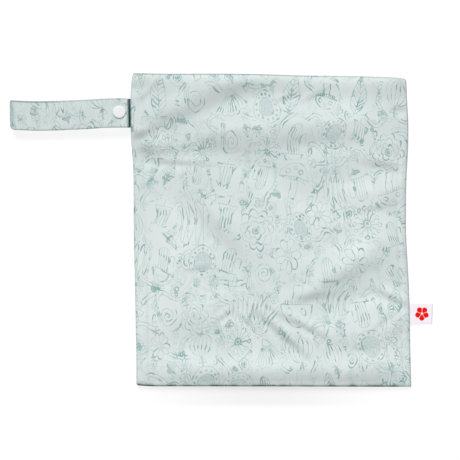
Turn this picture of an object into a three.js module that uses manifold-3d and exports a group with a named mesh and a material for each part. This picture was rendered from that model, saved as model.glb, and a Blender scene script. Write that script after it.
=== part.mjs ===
// Cloth diaper wet bag: a flat zipped pouch of waterproof cloth that lies on its back.
// A carry strap comes out of the left seam, folds over and snaps back onto itself beside the bag,
// and a small woven label sits in the right seam. The zip runs between the two lips of the top edge.
//
// Millimetres. +X runs right across the bag, +Y towards its mouth and +Z up from the surface below.
// The origin is the middle of the bag's underside.
// u runs across the bag from 0 at the left edge to 1, and v from 0 at the bottom edge to 1 at the mouth.

import * as THREE from 'three';
import { mergeVertices } from 'three/addons/utils/BufferGeometryUtils.js';
import Module from 'manifold-3d';

const wasm = await Module();
wasm.setup();

// Cloth body
const bagWidth = 276;
const bagHeight = 313;
const clothWall = 1.2;
const fitGap = 0.3;
const edgeWander = 3.5;
const innerRound = 1.2;
const loft = 5.2;
const loftReach = 62;
const foldHeight = 2.6;
const foldFade = 16;

// Turned-in cloth along the two side seams
const allowanceWall = 1;
const allowanceWidthLeft = 12.4;
const allowanceWidthRight = 8.6;
const allowanceEndGap = 9;

// Zip
const zipEndGap = 14.5;
const zipRecess = 3.2;
const chainDepth = 4.6;
const chainHeight = 2.4;
const tapeWall = 0.9;
const tapeWidth = 8.2;
const sliderLength = 10;
const sliderDepth = 7;
const sliderHeight = 3.8;
const sliderEndGap = 18;
const tabLength = 17;
const tabWall = 1.2;

// Carry strap
const strapWidth = 29;
const strapWall = 1.6;
const strapReach = 121;
const strapDrop = 40;
const strapTurn = 0.86;
const strapFoldRadius = 3.4;
const strapEndGap = 1.6;
const strapSag = 0.7;
const strapBow = 1.8;
const strapSewnLength = 8;
const strapCornerTop = 1.2;
const strapCornerBottom = 3.4;

// Press snap in the strap
const snapDiameter = 12.4;
const snapInset = 9.2;
const snapOffset = 0.8;
const capWall = 1.2;
const postDiameter = 2.6;
const socketDiameter = 11.2;
const studFlangeDiameter = 10.8;
const studDiameter = 5.6;
const studHeight = 1.2;
const flangeWall = 0.8;
const socketWebWall = 0.9;

// Woven label
const labelWidth = 23.4;
const labelHeight = 20.3;
const labelWall = 1;
const labelRise = 75;
const labelTurn = -2;
const labelSewnLength = 5;

// How far each side edge strays to the right of straight, as shares of edgeWander.
const sideEdges = [
  { up: 0, left: 0.7, right: 0.8 },
  { up: 0.1, left: 0.65, right: 0.58 },
  { up: 0.2, left: 0.46, right: 0.36 },
  { up: 0.32, left: 0.26, right: 0.12 },
  { up: 0.4, left: 0.08, right: -0.25 },
  { up: 0.5, left: -0.1, right: -0.7 },
  { up: 0.6, left: -0.14, right: -0.72 },
  { up: 0.68, left: -0.2, right: -0.57 },
  { up: 0.73, left: -0.43, right: -0.33 },
  { up: 0.79, left: -0.85, right: -0.07 },
  { up: 0.86, left: -0.97, right: -0.07 },
  { up: 0.93, left: -0.97, right: -0.4 },
  { up: 0.98, left: -0.7, right: -0.58 },
  { up: 1, left: -0.25, right: -0.63 },
];

// How far the bottom and top edges stray upwards of straight, as shares of edgeWander.
const endEdges = [
  { across: 0, bottom: 0.17, top: 0.46 },
  { across: 0.05, bottom: -0.06, top: 0.29 },
  { across: 0.13, bottom: -0.07, top: 0.2 },
  { across: 0.36, bottom: -0.1, top: 0.2 },
  { across: 0.5, bottom: -0.11, top: 0 },
  { across: 0.62, bottom: -0.14, top: -0.29 },
  { across: 0.8, bottom: -0.18, top: -0.49 },
  { across: 0.96, bottom: -0.21, top: -0.86 },
  { across: 1, bottom: -0.23, top: -1.03 },
];

// Radius of each corner, as a share of edgeWander.
const cornerRounds = { bottomLeft: 0.7, bottomRight: 0.2, topLeft: 0.15, topRight: 0.85 };

// How far the strap strays sideways of straight, as shares of strapBow. out is a share of strapReach.
const strapBows = [
  { out: 0, bow: 0 },
  { out: 0.2, bow: 0 },
  { out: 0.33, bow: -0.38 },
  { out: 0.55, bow: -0.82 },
  { out: 0.7, bow: -1 },
  { out: 0.83, bow: -0.85 },
  { out: 1, bow: -0.15 },
];

// Ridges and valleys of the front. across and up place the middle, as shares of the bag's width and height.
// long and wide are half-lengths along and across the fold, as shares of the bag's height. turn is the
// fold's direction in degrees from +X, and rise its height as a share of foldHeight.
const folds = [
  { name: 'ridge below the mouth', across: 0.62, up: 0.855, long: 0.3, wide: 0.045, turn: 7, rise: 0.9 },
  { name: 'swell over the slider', across: 0.77, up: 0.865, long: 0.1, wide: 0.05, turn: 5, rise: 0.35 },
  { name: 'upper left ridge', across: 0.18, up: 0.925, long: 0.11, wide: 0.032, turn: 21, rise: 0.5 },
  { name: 'middle ridge, upper half', across: 0.375, up: 0.52, long: 0.14, wide: 0.04, turn: -64, rise: 0.5 },
  { name: 'middle ridge, lower half', across: 0.51, up: 0.27, long: 0.13, wide: 0.038, turn: -58, rise: 0.55 },
  { name: 'strong diagonal ridge', across: 0.755, up: 0.38, long: 0.15, wide: 0.036, turn: 32, rise: 0.85 },
  { name: 'upper right ridge', across: 0.93, up: 0.78, long: 0.06, wide: 0.026, turn: -10, rise: 0.35 },
  { name: 'right ridge', across: 0.92, up: 0.63, long: 0.07, wide: 0.03, turn: 8, rise: 0.4 },
  { name: 'lower left ridge', across: 0.3, up: 0.27, long: 0.08, wide: 0.035, turn: 25, rise: 0.35 },
  { name: 'left swell', across: 0.18, up: 0.4, long: 0.1, wide: 0.05, turn: 70, rise: 0.3 },
  { name: 'lower right ridge', across: 0.63, up: 0.205, long: 0.09, wide: 0.032, turn: -24, rise: 0.35 },
  { name: 'ridge above the bottom fold', across: 0.5, up: 0.05, long: 0.38, wide: 0.03, turn: 0, rise: 0.35 },
  { name: 'left valley', across: 0.1, up: 0.65, long: 0.12, wide: 0.05, turn: -65, rise: -0.6 },
  { name: 'deep upper valley', across: 0.42, up: 0.71, long: 0.14, wide: 0.045, turn: -14, rise: -0.8 },
  { name: 'valley right of the middle', across: 0.66, up: 0.605, long: 0.1, wide: 0.045, turn: -20, rise: -0.5 },
  { name: 'upper right valley', across: 0.8, up: 0.67, long: 0.09, wide: 0.035, turn: 10, rise: -0.4 },
  { name: 'right valley', across: 0.9, up: 0.555, long: 0.08, wide: 0.03, turn: 5, rise: -0.35 },
  { name: 'valley under the diagonal', across: 0.78, up: 0.275, long: 0.14, wide: 0.04, turn: 24, rise: -0.7 },
  { name: 'left middle valley', across: 0.24, up: 0.57, long: 0.1, wide: 0.04, turn: -50, rise: -0.35 },
  { name: 'lower left valley', across: 0.21, up: 0.15, long: 0.12, wide: 0.05, turn: 0, rise: -0.5 },
  { name: 'lower middle valley', across: 0.45, up: 0.165, long: 0.1, wide: 0.036, turn: -40, rise: -0.5 },
  { name: 'lower right valley', across: 0.87, up: 0.13, long: 0.09, wide: 0.04, turn: 15, rise: -0.35 },
];

// Fineness of the facets
const frontSpacing = 9.4;
const backSpacing = 24;
const allowanceSpacing = 26;
const roundSides = 22;

// Levels that follow from the stack of layers
const seatHeight = clothWall + fitGap;
const rimReach = clothWall + innerRound;
const allowanceStart = rimReach;
const rimInside = allowanceWall + fitGap;
const snapStack = 4 * fitGap + flangeWall + studHeight + socketWebWall;
const lipLift = chainHeight + tapeWall;

/** Value of one column of a table at a place between its rows, on a smooth curve through them. */
function tableAt(rows, placeColumn, column, place) {
  const last = rows.length - 1;
  let i = 0;
  while (i < last - 1 && place > rows[i + 1][placeColumn]) {
    i += 1;
  }
  const slope = (a, b) => (rows[b][column] - rows[a][column]) / (rows[b][placeColumn] - rows[a][placeColumn]);
  const span = rows[i + 1][placeColumn] - rows[i][placeColumn];
  const t = (place - rows[i][placeColumn]) / span;
  const slopeIn = slope(Math.max(i - 1, 0), i + 1) * span;
  const slopeOut = slope(i, Math.min(i + 2, last)) * span;
  const from = rows[i][column];
  const to = rows[i + 1][column];
  const rest = 1 - t;
  return from * (1 + 2 * t) * rest * rest + slopeIn * t * rest * rest
    + to * (3 - 2 * t) * t * t - slopeOut * t * t * rest;
}

/** How far a rounded corner of a given radius takes an edge in, at a distance from the other edge. */
function cornerInset(radius, distance) {
  const left = Math.max(1 - distance / radius, 0);
  return radius * (1 - Math.sqrt(1 - left * left));
}

/** Point of the bag's plan at u and v, with the outline drawn in by inset. */
function planPoint(u, v, inset = 0) {
  const fromBottom = v * bagHeight;
  const fromTop = bagHeight - fromBottom;
  const round = (bottom, top) => cornerInset(bottom * edgeWander, fromBottom)
    + cornerInset(top * edgeWander, fromTop);
  const left = -bagWidth / 2 + inset + edgeWander * tableAt(sideEdges, 'up', 'left', v)
    + round(cornerRounds.bottomLeft, cornerRounds.topLeft);
  const right = bagWidth / 2 - inset + edgeWander * tableAt(sideEdges, 'up', 'right', v)
    - round(cornerRounds.bottomRight, cornerRounds.topRight);
  const bottom = -bagHeight / 2 + inset + edgeWander * tableAt(endEdges, 'across', 'bottom', u);
  const top = bagHeight / 2 - inset + edgeWander * tableAt(endEdges, 'across', 'top', u);
  return new THREE.Vector2(THREE.MathUtils.lerp(left, right, u), THREE.MathUtils.lerp(bottom, top, v));
}

/** Distances from the nearer side edge and from the nearer end edge. */
function edgeDistances(u, v) {
  return { side: Math.min(u, 1 - u) * bagWidth, end: Math.min(v, 1 - v) * bagHeight };
}

/** 1 inside half of a span about 0, falling smoothly to 0 over the run beyond it. */
function plateau(offset, half, run) {
  return 1 - THREE.MathUtils.smoothstep(Math.abs(offset), half, half + run);
}

// What lies between the two cloths at an edge. along is its place on that edge, half its half-length
// there, lift how far it raises the front cloth's foot, and deep how far in it reaches.
const strapUp = (bagHeight - strapDrop) / bagHeight;
const labelUp = labelRise / bagHeight;
const seamMargin = 1.2;
const seamGuests = [
  { edge: 'left', along: strapUp, half: strapWidth / 2 + seamMargin, lift: strapWall + fitGap,
    deep: strapSewnLength + seamMargin },
  { edge: 'right', along: labelUp, half: labelHeight / 2 + seamMargin, lift: labelWall + fitGap,
    deep: labelSewnLength + seamMargin },
];
const liftRun = 11;
const lipFade = 46;
const lipCorner = 12;

/** Middle and half-length, across the bag, of the stretch that holds the slider and its tab. */
const sliderMiddle = bagWidth - sliderEndGap - (sliderLength + tabLength) / 2;
const sliderHalf = (sliderLength + tabLength) / 2;

/** How far the front cloth is raised above its seam by the strap, the label and the zip. */
function guestLift(u, v) {
  const { side } = edgeDistances(u, v);
  let lift = 0;
  for (const guest of seamGuests) {
    const inward = guest.edge === 'left' ? u * bagWidth : (1 - u) * bagWidth;
    lift += guest.lift * plateau((v - guest.along) * bagHeight, guest.half, liftRun)
      * plateau(inward, guest.deep, 2 * liftRun);
  }
  const overSlider = plateau(u * bagWidth - sliderMiddle, sliderHalf + seamMargin, liftRun);
  const lip = THREE.MathUtils.lerp(lipLift, sliderHeight + fitGap, overSlider);
  return lift + lip * THREE.MathUtils.smoothstep(side, 0, lipCorner) * plateau((1 - v) * bagHeight, 0, lipFade);
}

/** Rise from 0 at an edge to 1 at a reach from it, steep at first, like the rim of a filled pouch. */
function pouchRise(distance, reach) {
  const left = Math.max(1 - distance / reach, 0);
  return 1 - left ** 2.4;
}

/** Quarter round from 0 at an edge to 1 at a reach from it. */
function rimRound(distance, reach) {
  const left = Math.max(1 - distance / reach, 0);
  return Math.sqrt(1 - left * left);
}

/** Height of all folds together at u and v. */
function foldRise(u, v) {
  const { side, end } = edgeDistances(u, v);
  let rise = 0;
  for (const fold of folds) {
    const turn = THREE.MathUtils.degToRad(fold.turn);
    const dx = (u - fold.across) * bagWidth;
    const dy = (v - fold.up) * bagHeight;
    const along = (dx * Math.cos(turn) + dy * Math.sin(turn)) / (fold.long * bagHeight);
    const beside = (dy * Math.cos(turn) - dx * Math.sin(turn)) / (fold.wide * bagHeight);
    rise += fold.rise * Math.exp(-along * along - beside * beside);
  }
  return foldHeight * rise * pouchRise(side, foldFade) * pouchRise(end, foldFade);
}

/** Point on the front cloth's outer or inner side. */
function frontPoint(u, v, inside) {
  const { side, end } = edgeDistances(u, v);
  const reach = inside ? innerRound : rimReach;
  const rim = (inside ? rimInside : rimInside + clothWall) * rimRound(side, reach) * rimRound(end, reach);
  const pouch = loft * pouchRise(side, loftReach) * pouchRise(end, loftReach);
  const plan = planPoint(u, v, inside ? clothWall : 0);
  return new THREE.Vector3(plan.x, plan.y, seatHeight + guestLift(u, v) + rim + pouch + foldRise(u, v));
}

/** Point on the back cloth. Its inner side is level, and its outer side rounds up to the seam. */
function backPoint(u, v, inside) {
  const { side, end } = edgeDistances(u, v);
  const plan = planPoint(u, v);
  const round = rimRound(side, innerRound) * rimRound(end, innerRound);
  return new THREE.Vector3(plan.x, plan.y, inside ? clothWall : clothWall / 2 * (1 - round));
}

/** Shares of a length for the lines of a grid: close together on both rims, even between, and extra ones. */
function gridShares(length, reach, spacing, extras = []) {
  const rim = [0, Math.PI / 6, Math.PI / 3, Math.PI / 2].map((angle) => reach * (1 - Math.cos(angle)));
  const count = Math.round((length - 2 * reach) / spacing);
  const fixed = [...rim, ...rim.map((distance) => length - distance), ...extras];
  const even = [];
  for (let i = 1; i < count; i += 1) {
    const distance = reach + (length - 2 * reach) * i / count;
    if (fixed.every((other) => Math.abs(other - distance) > spacing * 0.35)) {
      even.push(distance);
    }
  }
  return [...fixed, ...even].sort((a, b) => a - b).map((distance) => distance / length);
}

/** Closed cloth wall between an upper and a lower grid of points, joined along their four edges. */
function clothWallGeometry(columns, rows, upper, lower) {
  const positions = [];
  const index = [];
  const across = columns.length;
  const layer = across * rows.length;
  for (const point of [upper, lower]) {
    for (const v of rows) {
      for (const u of columns) {
        positions.push(...point(u, v).toArray());
      }
    }
  }
  const quad = (a, b, c, d) => index.push(a, b, c, a, c, d);
  for (let j = 0; j < rows.length - 1; j += 1) {
    for (let i = 0; i < across - 1; i += 1) {
      const a = j * across + i;
      quad(a, a + 1, a + across + 1, a + across);
      quad(layer + a, layer + a + across, layer + a + across + 1, layer + a + 1);
    }
  }
  const rim = [];
  for (let i = 0; i < across - 1; i += 1) {
    rim.push(i);
  }
  for (let j = 0; j < rows.length - 1; j += 1) {
    rim.push(j * across + across - 1);
  }
  for (let i = across - 1; i > 0; i -= 1) {
    rim.push((rows.length - 1) * across + i);
  }
  for (let j = rows.length - 1; j > 0; j -= 1) {
    rim.push(j * across);
  }
  rim.forEach((from, k) => {
    const to = rim[(k + 1) % rim.length];
    quad(from, layer + from, layer + to, to);
  });
  const geometry = new THREE.BufferGeometry();
  geometry.setAttribute('position', new THREE.Float32BufferAttribute(positions, 3));
  geometry.setIndex(index);
  geometry.computeVertexNormals();
  return geometry;
}

/** Solid of a closed geometry, for cutting and joining. */
function solidOf(geometry) {
  const bare = geometry.clone();
  bare.deleteAttribute('normal');
  bare.deleteAttribute('uv');
  const merged = mergeVertices(bare, 1e-4);
  return new wasm.Manifold(new wasm.Mesh({
    numProp: 3,
    vertProperties: new Float32Array(merged.attributes.position.array),
    triVerts: new Uint32Array(merged.index.array),
  }));
}

/** Geometry of a solid. */
function geometryOf(solid) {
  const mesh = solid.getMesh();
  const geometry = new THREE.BufferGeometry();
  geometry.setAttribute('position', new THREE.Float32BufferAttribute(mesh.vertProperties, 3));
  geometry.setIndex([...mesh.triVerts]);
  geometry.computeVertexNormals();
  return geometry;
}

/** Plate with the outline of a plan shape, from one height to another. */
function plate(shape, bottom, top) {
  const depth = top - bottom;
  return new THREE.ExtrudeGeometry(shape, { depth, bevelEnabled: false, curveSegments: 5 })
    .translate(0, 0, bottom);
}

/** Solid of an outline drawn in X and Z, given a width along Y about the middle. */
function crosswise(outline, width) {
  const shape = new THREE.Shape(outline);
  const geometry = new THREE.ExtrudeGeometry(shape, { depth: width, bevelEnabled: false });
  return geometry.rotateX(Math.PI / 2).translate(0, width / 2, 0);
}

/** Outline of a band of even wall that follows a line. */
function bandOutline(line, wall) {
  const sides = [1, -1].map((sign) => line.map((point, i) => {
    const before = line[Math.max(i - 1, 0)];
    const after = line[Math.min(i + 1, line.length - 1)];
    const ahead = after.clone().sub(before).normalize();
    return new THREE.Vector2(-ahead.y, ahead.x).multiplyScalar(sign * wall / 2).add(point);
  }));
  return [...sides[0], ...sides[1].reverse()];
}

/** Round solid about +Z from pairs of radius and height, starting and ending on the axis or closed. */
function turned(pairs) {
  const profile = pairs.map(([radius, height]) => new THREE.Vector2(radius, height));
  return new THREE.LatheGeometry(profile, roundSides).rotateX(Math.PI / 2);
}

function material(color, roughness) {
  return new THREE.MeshStandardMaterial({ color, roughness, metalness: 0 });
}

const cloth = 0xd7e2dc;
const zipGrey = 0xc5d3d1;
const snapWhite = 0xeef0ef;
const labelWhite = 0xf8f5fb;

/** Names and places one piece. */
function piece(name, geometry, color, roughness) {
  const mesh = new THREE.Mesh(geometry, material(color, roughness));
  mesh.name = name;
  return mesh;
}

function makeFrontPanel() {
  const guestRows = seamGuests.flatMap(({ along, half }) => {
    const middle = along * bagHeight;
    return [-half - liftRun / 2, -half, half, half + liftRun / 2].map((offset) => middle + offset);
  });
  const rows = gridShares(bagHeight, rimReach, frontSpacing, guestRows);
  const columns = gridShares(bagWidth, rimReach, frontSpacing);
  const geometry = clothWallGeometry(
    columns,
    rows,
    (u, v) => frontPoint(u, v, false),
    (u, v) => frontPoint(u, v, true),
  );
  return piece('front_panel', geometry, cloth, 0.8);
}

function makeBackPanel() {
  const geometry = clothWallGeometry(
    gridShares(bagWidth, innerRound, backSpacing),
    gridShares(bagHeight, innerRound, backSpacing),
    (u, v) => backPoint(u, v, true),
    (u, v) => backPoint(u, v, false),
  );
  return piece('back_panel', geometry, cloth, 0.8);
}

/** Turned-in cloth inside one side seam, cut back where the strap or the label is sewn in. */
function makeSeamAllowance(edge, width) {
  const guest = seamGuests.find((one) => one.edge === edge);
  const u = edge === 'left' ? 0 : 1;
  const inwards = edge === 'left' ? 1 : -1;
  const seamPoint = (height, inward) => {
    const { x, y } = planPoint(u, height / bagHeight);
    return new THREE.Vector2(x + inwards * inward, y);
  };
  const start = allowanceEndGap;
  const stop = bagHeight - allowanceEndGap;
  const count = Math.round((stop - start) / allowanceSpacing);
  const heights = Array.from({ length: count + 1 }, (_, i) => start + (stop - start) * i / count);
  const notchLow = guest.along * bagHeight - guest.half;
  const notchHigh = guest.along * bagHeight + guest.half;
  const besideSeam = (height) => seamPoint(height, allowanceStart);
  const points = [
    ...heights.filter((height) => height < notchLow).map(besideSeam),
    besideSeam(notchLow),
    seamPoint(notchLow, guest.deep),
    seamPoint(notchHigh, guest.deep),
    besideSeam(notchHigh),
    ...heights.filter((height) => height > notchHigh).map(besideSeam),
    ...heights.reverse().map((height) => seamPoint(height, width)),
  ];
  const geometry = plate(new THREE.Shape(points), seatHeight, seatHeight + allowanceWall);
  return piece(`seam_allowance_${edge}`, geometry, cloth, 0.85);
}

/** Chain, tapes, slider and pull tab of the closed zip, in one. x runs along the zip and y is its height. */
function makeZipClosure() {
  const lipMiddle = (clothWall + seatHeight + lipLift) / 2;
  const low = seatHeight;
  const high = seatHeight + lipLift - fitGap;
  const chainEnd = zipRecess + chainDepth;
  const tapeEnd = chainEnd + tapeWidth;
  const section = [
    [zipRecess, lipMiddle - chainHeight / 2],
    [chainEnd - tapeWall, lipMiddle - chainHeight / 2],
    [chainEnd, low],
    [tapeEnd, low],
    [tapeEnd, low + tapeWall],
    [chainEnd + tapeWall, low + tapeWall],
    [chainEnd + tapeWall, high - tapeWall],
    [tapeEnd, high - tapeWall],
    [tapeEnd, high],
    [chainEnd, high],
    [chainEnd - tapeWall, lipMiddle + chainHeight / 2],
    [zipRecess, lipMiddle + chainHeight / 2],
  ].map(([inward, height]) => new THREE.Vector2(inward, height));
  const length = bagWidth - 2 * zipEndGap;
  const run = new THREE.ExtrudeGeometry(new THREE.Shape(section), { depth: length, bevelEnabled: false })
    .rotateX(Math.PI / 2)
    .rotateZ(-Math.PI / 2)
    .translate(length / 2, 0, 0);
  const sliderX = bagWidth / 2 - sliderEndGap - sliderLength / 2;
  const slider = new THREE.BoxGeometry(sliderLength, sliderDepth, sliderHeight)
    .translate(sliderX, -zipRecess - chainDepth / 2, seatHeight + sliderHeight / 2);
  const tab = new THREE.BoxGeometry(tabLength + tabWall, tabWall, sliderHeight - 2 * fitGap)
    .translate(
      sliderX - (sliderLength + tabLength - tabWall) / 2,
      -zipRecess + tabWall / 2 - fitGap,
      seatHeight + sliderHeight / 2,
    );
  const solid = solidOf(run).add(solidOf(slider)).add(solidOf(tab));
  const geometry = geometryOf(solid);
  const left = planPoint(0, 1);
  const right = planPoint(1, 1);
  const mesh = piece('zip_closure', geometry, zipGrey, 0.6);
  mesh.position.set(0, (left.y + right.y) / 2, 0);
  mesh.rotation.z = Math.atan2(right.y - left.y, right.x - left.x);
  return mesh;
}

/** Middle line of the strap in its own frame: x from the bag's edge, y its height. */
function strapLine() {
  const lowerSeat = seatHeight + strapWall / 2;
  const lowerFloor = strapWall / 2;
  const upperSnap = lowerSeat + strapWall + snapStack;
  const foldX = -strapReach + strapWall / 2 + strapFoldRadius;
  const snapX = -strapEndGap - snapInset;
  const level = snapX - snapDiameter;
  const line = [];
  line.push(new THREE.Vector2(strapSewnLength, lowerSeat));
  const slopeSteps = 5;
  for (let i = 0; i <= slopeSteps; i += 1) {
    const share = i / slopeSteps;
    const height = THREE.MathUtils.lerp(lowerSeat, lowerFloor, THREE.MathUtils.smoothstep(share, 0, 1));
    line.push(new THREE.Vector2(level * (1 + share), height));
  }
  line.push(new THREE.Vector2(foldX, lowerFloor));
  const foldSteps = 10;
  for (let i = 1; i < foldSteps; i += 1) {
    const angle = Math.PI * i / foldSteps;
    line.push(new THREE.Vector2(
      foldX - strapFoldRadius * Math.sin(angle),
      lowerFloor + strapFoldRadius * (1 - Math.cos(angle)),
    ));
  }
  const upperFold = lowerFloor + 2 * strapFoldRadius;
  const upperSteps = 12;
  for (let i = 0; i <= upperSteps; i += 1) {
    const share = i / upperSteps;
    const sag = strapSag * Math.sin(Math.PI * share) ** 2;
    const height = THREE.MathUtils.lerp(upperFold, upperSnap, THREE.MathUtils.smoothstep(share, 0, 1)) - sag;
    line.push(new THREE.Vector2(THREE.MathUtils.lerp(foldX, level, share), height));
  }
  line.push(new THREE.Vector2(-strapEndGap, upperSnap));
  return line;
}

/** Plan of the strap, with its fold's two corners rounded. */
function strapPlan() {
  const left = -strapReach;
  const right = strapSewnLength;
  const half = strapWidth / 2;
  const shape = new THREE.Shape();
  shape.moveTo(right, -half);
  shape.lineTo(right, half);
  shape.lineTo(left + strapCornerTop, half);
  shape.quadraticCurveTo(left, half, left, half - strapCornerTop);
  shape.lineTo(left, -half + strapCornerBottom);
  shape.quadraticCurveTo(left, -half, left + strapCornerBottom, -half);
  return shape;
}

/** The press snap's four parts and the heights where they sit, in the strap's frame. */
function makeSnap() {
  const cap = snapDiameter / 2;
  const post = postDiameter / 2;
  const bore = post + fitGap;
  const lowerTop = seatHeight + strapWall;
  const flangeBottom = lowerTop + fitGap;
  const flangeTop = flangeBottom + flangeWall;
  const studTop = flangeTop + studHeight;
  const socketBottom = flangeTop + fitGap;
  const webBottom = studTop + fitGap;
  const webTop = webBottom + socketWebWall;
  const upperTop = lowerTop + snapStack + strapWall;
  const capBottom = upperTop + fitGap;
  const stud = studDiameter / 2;
  const cavity = stud + fitGap;
  const flange = studFlangeDiameter / 2;
  const socket = socketDiameter / 2;
  const edge = 0.3;
  const capFront = turned([
    [0, webBottom + fitGap], [post, webBottom + fitGap], [post, capBottom], [cap - edge, capBottom],
    [cap, capBottom + edge], [cap - edge, capBottom + capWall * 0.7], [cap * 0.6, capBottom + capWall * 0.95],
    [0, capBottom + capWall],
  ]);
  const socketRing = turned([
    [bore, webBottom], [cavity, webBottom], [cavity, socketBottom], [socket - edge, socketBottom],
    [socket, socketBottom + edge], [socket, webTop], [bore, webTop], [bore, webBottom],
  ]);
  const studRing = turned([
    [bore, flangeBottom], [flange, flangeBottom], [flange, flangeTop], [stud * 0.92, flangeTop],
    [stud, studTop - edge], [stud - edge, studTop], [bore, studTop], [bore, flangeBottom],
  ]);
  const capBack = turned([
    [0, 0], [cap - edge, 0], [cap, edge], [cap, capWall - edge], [cap - edge, capWall], [post, capWall],
    [post, studTop - fitGap], [0, studTop - fitGap],
  ]);
  return [
    piece('snap_cap_front', capFront, snapWhite, 0.35),
    piece('snap_socket', socketRing, snapWhite, 0.35),
    piece('snap_stud', studRing, snapWhite, 0.35),
    piece('snap_cap_back', capBack, snapWhite, 0.35),
  ];
}

/** The strap with its snap, turned a little about the place where it leaves the bag. */
function makeStrap() {
  const band = solidOf(crosswise(bandOutline(strapLine(), strapWall), strapWidth + strapWall));
  const height = seatHeight + 2 * strapWall + snapStack + 2 * strapFoldRadius;
  const plan = solidOf(plate(strapPlan(), -fitGap, height));
  const snapX = -strapEndGap - snapInset;
  const postHole = new THREE.CylinderGeometry(postDiameter / 2 + fitGap, postDiameter / 2 + fitGap, 2 * height,
    roundSides).rotateX(Math.PI / 2).translate(snapX, snapOffset, 0);
  const group = new THREE.Group();
  const strap = geometryOf(band.intersect(plan).subtract(solidOf(postHole)));
  const position = strap.attributes.position;
  for (let i = 0; i < position.count; i += 1) {
    const out = THREE.MathUtils.clamp(-position.getX(i) / strapReach, 0, 1);
    position.setY(i, position.getY(i) + strapBow * tableAt(strapBows, 'out', 'bow', out));
  }
  strap.computeVertexNormals();
  group.add(piece('strap', strap, cloth, 0.8));
  for (const part of makeSnap()) {
    part.position.set(snapX, snapOffset, 0);
    group.add(part);
  }
  const place = planPoint(0, strapUp);
  group.position.set(place.x, place.y, 0);
  group.rotation.z = THREE.MathUtils.degToRad(strapTurn);
  return group;
}

/** Folded label that droops from the seam to the surface. */
function makeSideLabel() {
  const seat = seatHeight + labelWall / 2;
  const steps = 8;
  const line = [new THREE.Vector2(-labelSewnLength, seat)];
  for (let i = 0; i <= steps; i += 1) {
    const share = i / steps;
    const height = THREE.MathUtils.lerp(seat, labelWall / 2, THREE.MathUtils.smoothstep(share, 0.05, 0.95));
    line.push(new THREE.Vector2(share * labelWidth, height));
  }
  const mesh = piece('side_label', crosswise(bandOutline(line, labelWall), labelHeight), labelWhite, 0.6);
  const place = planPoint(1, labelUp);
  mesh.position.set(place.x, place.y, 0);
  mesh.rotation.z = THREE.MathUtils.degToRad(labelTurn);
  return mesh;
}

const wetBag = new THREE.Group();
wetBag.add(makeBackPanel());
wetBag.add(makeSeamAllowance('left', allowanceWidthLeft));
wetBag.add(makeSeamAllowance('right', allowanceWidthRight));
wetBag.add(makeZipClosure());
wetBag.add(makeFrontPanel());
wetBag.add(makeStrap());
wetBag.add(makeSideLabel());

export default wetBag;
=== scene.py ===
"""Looks of a cloth diaper wet bag that lies flat on its back, seen from straight above.

Metres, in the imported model's frame: +X right across the bag, +Y towards its zipped mouth, +Z up.
The cloths, strap, zip, snap and label are fine meshes that stand where their plain solids are.
u runs across the bag from 0 at the left edge to 1, and v from 0 at the bottom edge to 1 at the mouth.
"""

import math

import bpy
import numpy as np
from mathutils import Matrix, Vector


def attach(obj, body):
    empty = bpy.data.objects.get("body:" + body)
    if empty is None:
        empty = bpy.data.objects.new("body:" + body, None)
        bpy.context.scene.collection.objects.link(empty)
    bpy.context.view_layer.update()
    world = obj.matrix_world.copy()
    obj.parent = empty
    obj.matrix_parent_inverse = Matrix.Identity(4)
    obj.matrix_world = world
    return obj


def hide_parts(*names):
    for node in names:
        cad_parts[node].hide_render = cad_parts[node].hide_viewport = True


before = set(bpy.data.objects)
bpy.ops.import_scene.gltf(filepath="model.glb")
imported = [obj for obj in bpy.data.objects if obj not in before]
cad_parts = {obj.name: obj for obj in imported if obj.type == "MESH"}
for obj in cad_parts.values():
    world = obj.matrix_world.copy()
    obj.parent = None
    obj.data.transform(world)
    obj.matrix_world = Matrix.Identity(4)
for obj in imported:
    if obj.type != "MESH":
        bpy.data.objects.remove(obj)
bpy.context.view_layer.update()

# Cloth body, as in the part's source
BAG_WIDTH = 0.276
BAG_HEIGHT = 0.313
CLOTH_WALL = 0.0012
FIT_GAP = 0.0003
EDGE_WANDER = 0.0035
INNER_ROUND = 0.0012
LOFT = 0.0052
LOFT_REACH = 0.062
FOLD_HEIGHT = 0.0034
FOLD_FADE = 0.016

# Turned-in edges inside the side seams
ALLOWANCE_WALL = 0.001
ALLOWANCE_LEFT = 0.0124
ALLOWANCE_RIGHT = 0.0086
ALLOWANCE_END_GAP = 0.009

# Zip
ZIP_END_GAP = 0.0145
ZIP_RECESS = 0.0032
CHAIN_DEPTH = 0.0046
CHAIN_HEIGHT = 0.0024
TAPE_WALL = 0.0009
TAPE_WIDTH = 0.0082
SLIDER_LENGTH = 0.010
SLIDER_DEPTH = 0.007
SLIDER_HEIGHT = 0.0038
SLIDER_END_GAP = 0.018
TAB_LENGTH = 0.017
TAB_WALL = 0.0012
TAPE_PLY = 0.0006
TAPE_NOSE = 0.0012
COIL_PITCH = 0.0014
COIL_SHIFT = 0.00035
WIRE = 0.00028

# Carry strap
STRAP_WIDTH = 0.029
STRAP_WALL = 0.0016
STRAP_REACH = 0.121
STRAP_DROP = 0.040
STRAP_TURN = math.radians(0.86)
STRAP_FOLD_RADIUS = 0.0034
STRAP_END_GAP = 0.0016
STRAP_SAG = 0.0007
STRAP_BOW = 0.0018
STRAP_SEWN = 0.008
STRAP_CORNER_TOP = 0.0012
STRAP_CORNER_BOTTOM = 0.0034
STRAP_END_CORNER = 0.003

# Press snap
SNAP_DIAMETER = 0.0124
SNAP_INSET = 0.0092
SNAP_OFFSET = 0.0008
CAP_WALL = 0.0012
POST_DIAMETER = 0.0026
SOCKET_DIAMETER = 0.0112
FLANGE_DIAMETER = 0.0108
STUD_DIAMETER = 0.0056
STUD_HEIGHT = 0.0012
FLANGE_WALL = 0.0008
WEB_WALL = 0.0009

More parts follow.
